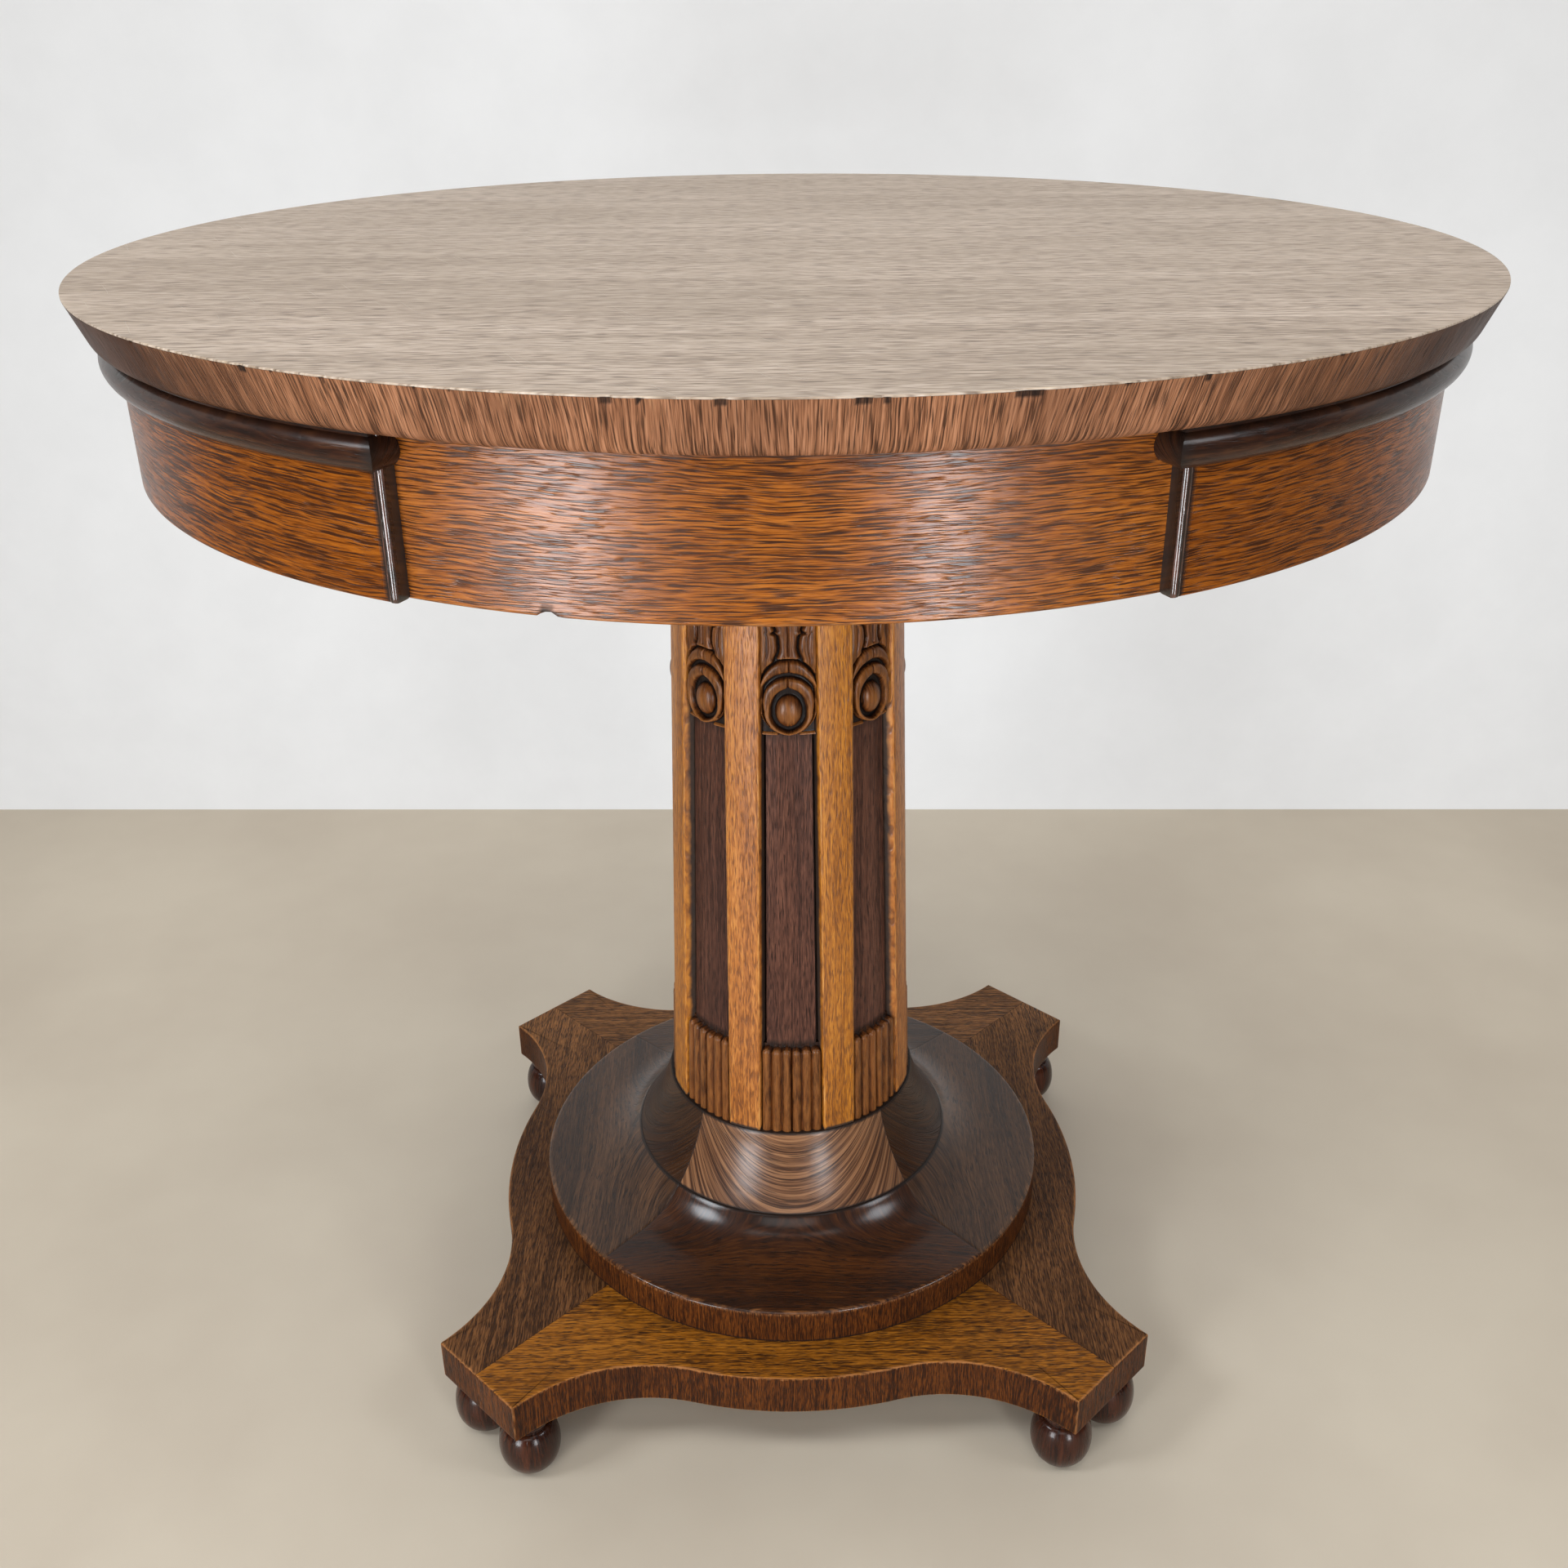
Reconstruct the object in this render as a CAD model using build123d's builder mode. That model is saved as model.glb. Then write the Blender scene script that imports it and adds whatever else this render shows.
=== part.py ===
from build123d import *
import os
from math import atan2, cos, degrees, radians, sin

os.makedirs("parts", exist_ok=True)

# Round pedestal table in stained oak, in millimetres.
# +Z is up and the front faces -Y. The origin lies on the floor, on the column's axis.

# Heights above the floor
FOOT_TOP = 45.0
PLINTH_TOP = 76.0
DISC_RIM = 102.0
DISC_HUB = 124.0
COLUMN_FOOT = 176.0
REED_TOP = 245.0
CAPITAL_FOOT = 482.0
COLUMN_HEAD = 650.0
APRON_FOOT = 668.0
BEARER_FOOT = 690.0
CORNICE_FOOT = 726.0
UNDERSIDE = 744.0
TABLE_H = 770.0

# Tabletop
TOP_R = 400.0
LIP_R = 389.5
LIP_ROUND = 5.0
BAND_INNER_R = 352.0
VENEER_T = 1.0

# Apron: a full ring, with a proud panel on each side of the recessed front and back
RECESS_R = 370.0
RING_T = 18.0
PROUD_R = 378.0
RECESS_HALF_ANGLE = 26.2
BEAD_W = 4.5
BEAD_PROUD = 1.2
BEAD_ROUND = 2.0
CORNICE_OUT = 10.5
CORNICE_FILLET = 9.0
CORNICE_FILLET_T = 1.5
CORNICE_FOOT_OUT = 3.5
CORNICE_TOE_OUT = 2.0
MITRE_SPARE = 3.0
MITRE_REACH = 25.0
RING_INNER_R = RECESS_R - RING_T

# Bearers, column head and fasteners
BEARER_W = 70.0
WOOD_GAP = 0.1
HEAD_R = 100.0
HEAD_ROUND = 10.0
SCREW_R = 2.5
SCREW_HEAD_R = 5.0
SCREW_HEAD_T = 3.0
SCREW_L = 50.0
SCREW_TIP = 6.0
SCREW_POINT_R = 0.3
SLOT_W = 1.0
SLOT_DEPTH = 1.2
SCREW_CLEARANCE = 0.15
POCKET_R = 5.5
TOP_SCREW_X = (120.0, 290.0)
HEAD_SCREW_X = 84.0
TOP_POCKET = 18.0
HEAD_POCKET = 14.0
ROD_R = 6.0
ROD_BORE_R = 6.5
NUT_FLATS_R = 9.5
NUT_T = 10.0
WASHER_R = 15.0
WASHER_T = 2.5
ROD_POCKET_R = 18.0
ROD_POCKET = 14.0
GLUE_BLOCKS = 12
GLUE_BLOCK_LEG = 18.0
GLUE_BLOCK_ANGLE = 8.0

# Column
BAYS = 8
COLUMN_FOOT_R = 90.0
COLUMN_HEAD_R = 75.0
PANEL_DEPTH = 7.0
STAVE_BORE_R = 32.0
PILASTER_W = 24.0
PILASTER_HALF_ANGLE = 15.0
PILASTER_CUT = 120.0
REEDS = 6
REED_R = 3.6
REED_PITCH = 4.9
REED_INSET = 0.8
BLOCK_GROUND = 4.0
RELIEF_DEPTH = 5.5
BOSS_Z = 500.0
BOSS_R = 10.2
INNER_RING = (16.5, 17.5)
INNER_RING_HOLE = (12.5, 15.0)
OUTER_RING = (18.0, 30.0)
OUTER_RING_HOLE = (15.0, 26.5)
OUTER_RING_RISE = 5.0
STEM = (8.0, 45.0)
STEM_RISE = 75.0

# Base
SEAM_R = 117.0
COLLAR_HEAD_R = 91.5
DISC_R = 189.0
DISC_FLAT_R = 155.3
DISC_FLAT_Z = 104.5
COVE_ANGLE = 50.0
DISC_ROUND = 3.0
PLINTH_CORNER = (185.7, -243.7)
PLINTH_WAVE = (70.0, -212.3)
PLINTH_FRONT = -221.5
WAVE_ANGLE = 15.0
FOOT_R = 21.0
FOOT_FACE_R = 9.0
FOOT_BULGE_Z = 19.0
FOOT_NECK_R = 13.5
FOOT_NECK_Z = 37.5
FOOT_COLLAR_R = 15.0
FOOT_PLACES = ((182.0, 218.0), (218.0, 182.0))
TENON_R = 7.0
TENON_L = 20.0

FRONT = -90.0
BAY_ANGLE = 360.0 / BAYS
TAPER_ANGLE = degrees(atan2(COLUMN_FOOT_R - COLUMN_HEAD_R, COLUMN_HEAD - COLUMN_FOOT))


def column_r(z):
    """Radius of the pilasters' outer face at height z."""
    share = (z - COLUMN_FOOT) / (COLUMN_HEAD - COLUMN_FOOT)
    return COLUMN_FOOT_R + share * (COLUMN_HEAD_R - COLUMN_FOOT_R)


def radial_plane(angle):
    """Upright plane through the table's axis: local x runs outwards, local y runs up."""
    a = radians(angle)
    return Plane(origin=(0, 0, 0), x_dir=(cos(a), sin(a), 0), z_dir=(sin(a), -cos(a), 0))


def polar_frame(r, angle, z):
    """Level plane at a point: local x runs outwards, local y runs anticlockwise."""
    a = radians(angle)
    return Plane(origin=(r * cos(a), r * sin(a), z), x_dir=(cos(a), sin(a), 0), z_dir=(0, 0, 1))


def save(part, name):
    part.label = name
    export_step(part, f"parts/{name}.step")


def save_group(parts, name):
    save(Compound(children=list(parts)), name)


# ---------------------------------------------------------------- tabletop

screw_places = [(sign * x, 0) for x in TOP_SCREW_X for sign in (1, -1)]
screw_places += [(y, x) for x, y in screw_places]
head_screw_places = [(HEAD_SCREW_X, 0), (-HEAD_SCREW_X, 0), (0, HEAD_SCREW_X), (0, -HEAD_SCREW_X)]
top_screw_seat = BEARER_FOOT + TOP_POCKET
head_screw_seat = COLUMN_HEAD + HEAD_POCKET
screw_hole_r = SCREW_R + SCREW_CLEARANCE

with BuildPart() as tabletop_core:
    with BuildSketch(Plane.XY.offset(UNDERSIDE)):
        Circle(BAND_INNER_R)
    extrude(amount=TABLE_H - VENEER_T - UNDERSIDE)
    with BuildSketch(Plane.XY.offset(UNDERSIDE)):
        with Locations(*screw_places):
            Circle(screw_hole_r)
    extrude(amount=top_screw_seat + SCREW_L - UNDERSIDE, mode=Mode.SUBTRACT)
save(tabletop_core.part, "tabletop_core")

with BuildPart() as tabletop_veneer:
    with BuildSketch(Plane.XY.offset(TABLE_H - VENEER_T)):
        Circle(TOP_R)
    extrude(amount=VENEER_T)
save(tabletop_veneer.part, "tabletop_veneer")

with BuildPart() as tabletop_edge_band:
    with BuildSketch(radial_plane(0)) as band_profile:
        with BuildLine():
            Polyline(
                (BAND_INNER_R, UNDERSIDE),
                (LIP_R, UNDERSIDE),
                (TOP_R, TABLE_H - VENEER_T),
                (BAND_INNER_R, TABLE_H - VENEER_T),
                close=True,
            )
        make_face()
        lower_corner = band_profile.vertices().group_by(Axis.Y)[0].sort_by(Axis.X)[-1]
        fillet(lower_corner, LIP_ROUND)
    revolve(axis=Axis.Z)
save(tabletop_edge_band.part, "tabletop_edge_band")

# ---------------------------------------------------------------- apron

with BuildPart() as apron_ring:
    with BuildSketch(Plane.XY.offset(APRON_FOOT)):
        Circle(RECESS_R)
        Circle(RING_INNER_R, mode=Mode.SUBTRACT)
    extrude(amount=UNDERSIDE - APRON_FOOT)
save(apron_ring.part, "apron_ring")

# Each end of a proud panel: its angle, and which way the recess lies (1 is anticlockwise)
panel_ends = {
    "front_right": (FRONT + RECESS_HALF_ANGLE, -1),
    "back_right": (-FRONT - RECESS_HALF_ANGLE, 1),
    "back_left": (-FRONT + RECESS_HALF_ANGLE, -1),
    "front_left": (180 - FRONT - RECESS_HALF_ANGLE, 1),
}
panel_arc = 180 - 2 * RECESS_HALF_ANGLE


def bead_section(side, end, proud=0.0):
    """The strip's plan at one panel end, reaching 'proud' beyond the panel's face."""
    depth = PROUD_R - RECESS_R + proud
    angle, _ = end
    with BuildSketch(polar_frame(PROUD_R, angle, APRON_FOOT)) as section:
        with Locations((proud - depth / 2, -side * BEAD_W / 2)):
            Rectangle(depth, BEAD_W)
    return section


for side_name in ("right", "left"):
    ends = [panel_ends[f"front_{side_name}"], panel_ends[f"back_{side_name}"]]
    start = min(end[0] for end in ends)
    with BuildPart() as apron_panel:
        with BuildSketch(radial_plane(start)):
            with BuildLine():
                Polyline(
                    (RECESS_R, APRON_FOOT),
                    (PROUD_R, APRON_FOOT),
                    (PROUD_R, UNDERSIDE),
                    (RECESS_R, UNDERSIDE),
                    close=True,
                )
            make_face()
        revolve(axis=Axis.Z, revolution_arc=panel_arc)
        for end in ends:
            add(bead_section(end[1], end, BEAD_PROUD).sketch)
            extrude(amount=CORNICE_FOOT - APRON_FOOT, mode=Mode.SUBTRACT)
    save(apron_panel.part, f"apron_panel_{side_name}")

for end_name, end in panel_ends.items():
    with BuildPart() as end_bead:
        add(bead_section(end[1], end, BEAD_PROUD).sketch)
        extrude(amount=CORNICE_FOOT - APRON_FOOT)
        outward = polar_frame(0, end[0], 0).x_dir
        outer_edges = end_bead.edges().filter_by(Axis.Z).sort_by(lambda e: e.center().dot(outward))[-2:]
        fillet(outer_edges, BEAD_ROUND)
    save(end_bead.part, f"end_bead_{end_name}")


def cornice_profile():
    """Section of the cornice: local x is its projection, local y is the height."""
    fillet_corner = (CORNICE_FILLET, UNDERSIDE - CORNICE_FILLET_T)
    toe = (CORNICE_TOE_OUT, CORNICE_FOOT)
    ovolo_foot = (CORNICE_FOOT_OUT, CORNICE_FOOT + 2)
    with BuildLine() as line:
        Polyline(toe, (0, CORNICE_FOOT), (0, UNDERSIDE), (CORNICE_FILLET, UNDERSIDE), fillet_corner)
        ThreePointArc(fillet_corner, (CORNICE_OUT, UNDERSIDE - 6), ovolo_foot)
        Polyline(ovolo_foot, (CORNICE_TOE_OUT, CORNICE_FOOT + 1), toe)
    return line


def mitre_wedge(angle, side, third):
    """Plan of the space on one side of the mitre at a panel's end; 'third' picks the side."""
    with BuildSketch(polar_frame(PROUD_R, angle, CORNICE_FOOT)) as wedge:
        with BuildLine():
            Polyline((-1, -side), (MITRE_REACH, side * MITRE_REACH), third, close=True)
        make_face()
    return wedge.sketch


for side_name in ("right", "left"):
    ends = [panel_ends[f"front_{side_name}"], panel_ends[f"back_{side_name}"]]
    start_plane = radial_plane(min(end[0] for end in ends) - MITRE_SPARE)
    with BuildPart() as cornice:
        with BuildSketch(start_plane.shift_origin(start_plane.from_local_coords((PROUD_R, 0, 0)))):
            add(cornice_profile().line)
            make_face()
        revolve(axis=Axis.Z, revolution_arc=panel_arc + 2 * MITRE_SPARE)
        for angle, side in ends:
            add(mitre_wedge(angle, side, (-1, side * MITRE_REACH)))
            extrude(amount=UNDERSIDE - CORNICE_FOOT, mode=Mode.SUBTRACT)
    save(cornice.part, f"cornice_{side_name}")

for end_name, (angle, side) in panel_ends.items():
    corner = polar_frame(RECESS_R, angle, 0)
    across = Plane(origin=corner.origin, x_dir=corner.y_dir * side, z_dir=corner.x_dir * side)
    with BuildPart() as cornice_return:
        with BuildSketch(across):
            add(cornice_profile().line)
            make_face()
        extrude(amount=side * (PROUD_R - RECESS_R + CORNICE_OUT + 1))
        add(mitre_wedge(angle, side, (MITRE_REACH, -side)))
        extrude(amount=UNDERSIDE - CORNICE_FOOT, mode=Mode.SUBTRACT)
    save(cornice_return.part, f"cornice_return_{end_name}")

with BuildPart() as glue_block:
    with BuildSketch(radial_plane(-GLUE_BLOCK_ANGLE / 2)):
        with BuildLine():
            Polyline(
                (RING_INNER_R, UNDERSIDE),
                (RING_INNER_R, UNDERSIDE - GLUE_BLOCK_LEG),
                (RING_INNER_R - GLUE_BLOCK_LEG, UNDERSIDE),
                close=True,
            )
        make_face()
    revolve(axis=Axis.Z, revolution_arc=GLUE_BLOCK_ANGLE)
glue_step = 360 / GLUE_BLOCKS
save_group([glue_block.part.rotate(Axis.Z, glue_step * (k + 0.5)) for k in range(GLUE_BLOCKS)], "glue_blocks")

# ---------------------------------------------------------------- bearers and column head

half_lap_z = (BEARER_FOOT + UNDERSIDE) / 2


def bearer(along_x):
    """One of two half-lapped bearers between the tabletop and the column's head."""
    length = 2 * RING_INNER_R
    places = [p for p in screw_places if (p[1] == 0) == along_x]
    head_places = [p for p in head_screw_places if (p[1] == 0) == along_x]
    lap_foot = half_lap_z if along_x else BEARER_FOOT
    with BuildPart() as bar:
        with BuildSketch(Plane.XY.offset(BEARER_FOOT)):
            Circle(RING_INNER_R - WOOD_GAP)
            Rectangle(
                length if along_x else BEARER_W, BEARER_W if along_x else length, mode=Mode.INTERSECT
            )
        extrude(amount=UNDERSIDE - BEARER_FOOT)
        with BuildSketch(Plane.XY.offset(lap_foot)):
            Rectangle(BEARER_W, BEARER_W)
        extrude(amount=half_lap_z - BEARER_FOOT, mode=Mode.SUBTRACT)
        with BuildSketch(Plane.XY.offset(BEARER_FOOT)):
            Circle(ROD_BORE_R)
            with Locations(*places):
                Circle(screw_hole_r)
        extrude(amount=UNDERSIDE - BEARER_FOOT, mode=Mode.SUBTRACT)
        with BuildSketch(Plane.XY.offset(BEARER_FOOT)):
            with Locations(*places):
                Circle(POCKET_R)
        extrude(amount=TOP_POCKET, mode=Mode.SUBTRACT)
        with BuildSketch(Plane.XY.offset(BEARER_FOOT)):
            with Locations(*head_places):
                Circle(screw_hole_r)
        extrude(amount=head_screw_seat + SCREW_L - BEARER_FOOT, mode=Mode.SUBTRACT)
        with BuildSketch(Plane.XY.offset(UNDERSIDE - ROD_POCKET)):
            Circle(ROD_POCKET_R)
        extrude(amount=ROD_POCKET, mode=Mode.SUBTRACT)
    return bar.part


save(bearer(True), "bearer_long")
save(bearer(False), "bearer_cross")

with BuildPart() as head_block:
    with BuildSketch(Plane.XY.offset(COLUMN_HEAD)):
        Circle(HEAD_R)
    extrude(amount=BEARER_FOOT - COLUMN_HEAD)
    fillet(head_block.edges().group_by(Axis.Z)[0], HEAD_ROUND)
    with BuildSketch(Plane.XY.offset(COLUMN_HEAD)):
        Circle(ROD_BORE_R)
        with Locations(*head_screw_places):
            Circle(screw_hole_r)
    extrude(amount=BEARER_FOOT - COLUMN_HEAD, mode=Mode.SUBTRACT)
    with BuildSketch(Plane.XY.offset(COLUMN_HEAD)):
        with Locations(*head_screw_places):
            Circle(POCKET_R)
    extrude(amount=HEAD_POCKET, mode=Mode.SUBTRACT)
save(head_block.part, "head_block")

with BuildPart() as wood_screw:
    with BuildSketch(radial_plane(0)):
        with BuildLine():
            Polyline(
                (0, -SCREW_HEAD_T), (SCREW_HEAD_R, -SCREW_HEAD_T), (SCREW_HEAD_R, 0), (SCREW_R, 0),
                (SCREW_R, SCREW_L - SCREW_TIP), (SCREW_POINT_R, SCREW_L), (0, SCREW_L), close=True,
            )
        make_face()
    revolve(axis=Axis.Z)
    with BuildSketch(Plane.XY.offset(-SCREW_HEAD_T)):
        Rectangle(2 * SCREW_HEAD_R, SLOT_W)
    extrude(amount=SLOT_DEPTH, mode=Mode.SUBTRACT)
screws = [wood_screw.part.moved(Location((x, y, top_screw_seat))) for x, y in screw_places]
screws += [wood_screw.part.moved(Location((x, y, head_screw_seat))) for x, y in head_screw_places]
save_group(screws, "wood_screws")

# ---------------------------------------------------------------- column


def column_wall(start, arc, inner, outer, foot, head):
    """Profile for a stretch of the tapered wall; inner and outer give the radius at a height."""
    with BuildPart() as wall:
        with BuildSketch(radial_plane(start)):
            with BuildLine():
                Polyline(
                    (inner(foot), foot),
                    (outer(foot), foot),
                    (outer(head), head),
                    (inner(head), head),
                    close=True,
                )
            make_face()
        revolve(axis=Axis.Z, revolution_arc=arc)
    return wall.part


def panel_r(z):
    return column_r(z) - PANEL_DEPTH


def bay_block(inner, outer, foot, head):
    """A block that fills one bay, at the front, between its two pilasters."""
    with BuildPart() as block:
        add(column_wall(FRONT - BAY_ANGLE / 2, BAY_ANGLE, inner, outer, foot, head))
        for edge in (-0.5, 0.5):
            with BuildSketch(polar_frame(COLUMN_FOOT_R, FRONT + edge * BAY_ANGLE, foot)):
                Rectangle(PILASTER_CUT, PILASTER_W + 2 * WOOD_GAP)
            extrude(amount=head - foot, mode=Mode.SUBTRACT)
    return block.part


stave = column_wall(
    FRONT - BAY_ANGLE / 2, BAY_ANGLE, lambda z: STAVE_BORE_R, panel_r, COLUMN_FOOT, COLUMN_HEAD
)
save_group([stave.rotate(Axis.Z, BAY_ANGLE * k) for k in range(BAYS)], "column_staves")

with BuildPart() as pilaster:
    add(
        column_wall(
            FRONT - PILASTER_HALF_ANGLE, 2 * PILASTER_HALF_ANGLE, panel_r, column_r, COLUMN_FOOT, COLUMN_HEAD
        )
    )
    with BuildSketch(polar_frame(COLUMN_FOOT_R, FRONT, COLUMN_FOOT)):
        Rectangle(COLUMN_FOOT_R, PILASTER_W)
    extrude(amount=COLUMN_HEAD - COLUMN_FOOT, mode=Mode.INTERSECT)

# Carved block at the head of a bay: a boss inside two oval rings, with a stem and leaf above
taper = radians(TAPER_ANGLE)
relief_plane = Plane(
    origin=(0, RELIEF_DEPTH - column_r(BOSS_Z), BOSS_Z), x_dir=(1, 0, 0), z_dir=(0, -cos(taper), sin(taper))
)
with BuildPart() as carved_capital:
    add(bay_block(panel_r, lambda z: column_r(z) - BLOCK_GROUND, CAPITAL_FOOT, COLUMN_HEAD))
    with BuildSketch(relief_plane):
        Ellipse(*INNER_RING)
        Ellipse(*INNER_RING_HOLE, mode=Mode.SUBTRACT)
        with Locations((0, OUTER_RING_RISE)):
            Ellipse(*OUTER_RING)
            Ellipse(*OUTER_RING_HOLE, mode=Mode.SUBTRACT)
        with Locations((0, STEM_RISE)):
            Ellipse(*STEM)
    extrude(amount=RELIEF_DEPTH - 1)
    with Locations((0, BLOCK_GROUND - column_r(BOSS_Z), BOSS_Z)):
        Sphere(BOSS_R)
    add(bay_block(panel_r, column_r, CAPITAL_FOOT, COLUMN_HEAD), mode=Mode.INTERSECT)

with BuildPart() as reeded_block:
    add(bay_block(panel_r, lambda z: column_r(z) - BLOCK_GROUND, COLUMN_FOOT, REED_TOP))
    for k in range(REEDS):
        reed_angle = FRONT + (k - (REEDS - 1) / 2) * REED_PITCH
        foot = polar_frame(column_r(COLUMN_FOOT) - REED_R - REED_INSET, reed_angle, COLUMN_FOOT).origin
        head = polar_frame(column_r(REED_TOP) - REED_R - REED_INSET, reed_angle, REED_TOP).origin
        with BuildSketch(Plane(origin=foot, z_dir=head - foot)):
            Circle(REED_R)
        extrude(amount=(head - foot).length)
        with Locations(head):
            Sphere(REED_R)
    add(bay_block(panel_r, column_r, COLUMN_FOOT, REED_TOP + REED_R), mode=Mode.INTERSECT)

for k in range(BAYS):
    turn = BAY_ANGLE * k
    save(pilaster.part.rotate(Axis.Z, turn + BAY_ANGLE / 2), f"pilaster_{k + 1}")
    save(carved_capital.part.rotate(Axis.Z, turn), f"carved_capital_{k + 1}")
    save(reeded_block.part.rotate(Axis.Z, turn), f"reeded_block_{k + 1}")

# ---------------------------------------------------------------- tie rod

rod_foot = FOOT_TOP + ROD_POCKET - WASHER_T - NUT_T
rod_head = UNDERSIDE - ROD_POCKET + WASHER_T + NUT_T
with BuildPart() as tie_rod:
    with BuildSketch(Plane.XY.offset(rod_foot)):
        Circle(ROD_R)
    extrude(amount=rod_head - rod_foot)
    chamfer(tie_rod.edges().group_by(Axis.Z)[0] + tie_rod.edges().group_by(Axis.Z)[-1], 1.0)
save(tie_rod.part, "tie_rod")


def rod_piece(z, height, outline):
    """A nut or washer on the rod, standing on height z."""
    with BuildPart() as piece:
        with BuildSketch(Plane.XY.offset(z)):
            add(outline)
            Circle(ROD_R + WOOD_GAP, mode=Mode.SUBTRACT)
        extrude(amount=height)
    return piece.part


with BuildSketch() as nut_outline:
    RegularPolygon(NUT_FLATS_R, 6, major_radius=False)
with BuildSketch() as washer_outline:
    Circle(WASHER_R)
lower_washer_z = FOOT_TOP + ROD_POCKET - WASHER_T
upper_washer_z = UNDERSIDE - ROD_POCKET
nut_places = (lower_washer_z - NUT_T, upper_washer_z + WASHER_T)
save_group([rod_piece(z, NUT_T, nut_outline.sketch) for z in nut_places], "tie_rod_nuts")
washer_places = (lower_washer_z, upper_washer_z)
save_group([rod_piece(z, WASHER_T, washer_outline.sketch) for z in washer_places], "tie_rod_washers")

# ---------------------------------------------------------------- base

cove_start = (cos(radians(COVE_ANGLE)), -sin(radians(COVE_ANGLE)))
cove_rise = (-cove_start[0], -cove_start[1])

with BuildPart() as base_collar:
    with BuildSketch(radial_plane(0)):
        with BuildLine():
            Polyline(
                (SEAM_R, DISC_HUB),
                (ROD_BORE_R, DISC_HUB),
                (ROD_BORE_R, COLUMN_FOOT),
                (COLLAR_HEAD_R, COLUMN_FOOT),
            )
            TangentArc((SEAM_R, DISC_HUB), (COLLAR_HEAD_R, COLUMN_FOOT), tangent=cove_rise)
        make_face()
    revolve(axis=Axis.Z)
save(base_collar.part, "base_collar")

with BuildPart() as base_disc:
    with BuildSketch(radial_plane(0)):
        with BuildLine():
            Polyline((SEAM_R, DISC_HUB), (ROD_BORE_R, DISC_HUB), (ROD_BORE_R, PLINTH_TOP), (DISC_R, PLINTH_TOP))
            Polyline((DISC_R, PLINTH_TOP), (DISC_R, DISC_RIM), (DISC_FLAT_R, DISC_FLAT_Z))
            TangentArc((SEAM_R, DISC_HUB), (DISC_FLAT_R, DISC_FLAT_Z), tangent=cove_start)
        make_face()
    revolve(axis=Axis.Z)
    rim_edges = base_disc.edges().filter_by(GeomType.CIRCLE).group_by(SortBy.RADIUS)[-1]
    fillet(rim_edges.sort_by(Axis.Z)[-1], DISC_ROUND)
save(base_disc.part, "base_disc")


def turned(point, quarter):
    """The point turned about the table's axis by a number of quarter turns."""
    return tuple(Vector(*point).rotate(Axis.Z, 90 * quarter))[:2]


corner_x, corner_y = PLINTH_CORNER
wave_x, wave_y = PLINTH_WAVE
with BuildPart() as plinth_board:
    with BuildSketch(Plane.XY.offset(FOOT_TOP)):
        with BuildLine():
            for quarter in range(4):
                left_corner = turned((-corner_x, corner_y), quarter)
                left_wave = turned((-wave_x, wave_y), quarter)
                right_corner = turned((corner_x, corner_y), quarter)
                right_wave = turned((wave_x, wave_y), quarter)
                slope = radians(WAVE_ANGLE)
                TangentArc(left_wave, left_corner, tangent=turned((-cos(slope), sin(slope)), quarter))
                ThreePointArc(left_wave, turned((0, PLINTH_FRONT), quarter), right_wave)
                TangentArc(right_wave, right_corner, tangent=turned((cos(slope), sin(slope)), quarter))
                Line(right_corner, turned((-corner_x, corner_y), quarter + 1))
        make_face()
    extrude(amount=PLINTH_TOP - FOOT_TOP)
    chamfer(plinth_board.edges().group_by(Axis.Z)[-1], 1.0)
    foot_places = [(sx * x, sy * y) for x, y in FOOT_PLACES for sx in (-1, 1) for sy in (-1, 1)]
    with BuildSketch(Plane.XY.offset(FOOT_TOP)):
        with Locations(*foot_places):
            Circle(TENON_R + WOOD_GAP)
    extrude(amount=TENON_L + 1, mode=Mode.SUBTRACT)
    with BuildSketch(Plane.XY.offset(FOOT_TOP)):
        Circle(ROD_BORE_R)
    extrude(amount=PLINTH_TOP - FOOT_TOP, mode=Mode.SUBTRACT)
    with BuildSketch(Plane.XY.offset(FOOT_TOP)):
        Circle(ROD_POCKET_R)
    extrude(amount=ROD_POCKET, mode=Mode.SUBTRACT)
save(plinth_board.part, "plinth_board")

with BuildPart() as foot:
    with BuildSketch(radial_plane(0)):
        with BuildLine():
            Line((0, 0), (FOOT_FACE_R, 0))
            Spline(
                (FOOT_FACE_R, 0),
                (FOOT_R, FOOT_BULGE_Z),
                (FOOT_NECK_R, FOOT_NECK_Z),
                tangents=((1, 0.5), (-1, 1)),
            )
            Polyline(
                (FOOT_NECK_R, FOOT_NECK_Z),
                (FOOT_COLLAR_R, FOOT_NECK_Z + 2.5),
                (FOOT_COLLAR_R, FOOT_TOP),
                (TENON_R, FOOT_TOP),
                (TENON_R, FOOT_TOP + TENON_L),
                (0, FOOT_TOP + TENON_L),
                (0, 0),
            )
        make_face()
    revolve(axis=Axis.Z)
for k, (x, y) in enumerate(sorted(foot_places)):
    save(foot.part.moved(Location((x, y, 0))), f"bun_foot_{k + 1}")
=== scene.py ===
from math import atan2, cos, hypot, pi, radians, sin, tan

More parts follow.
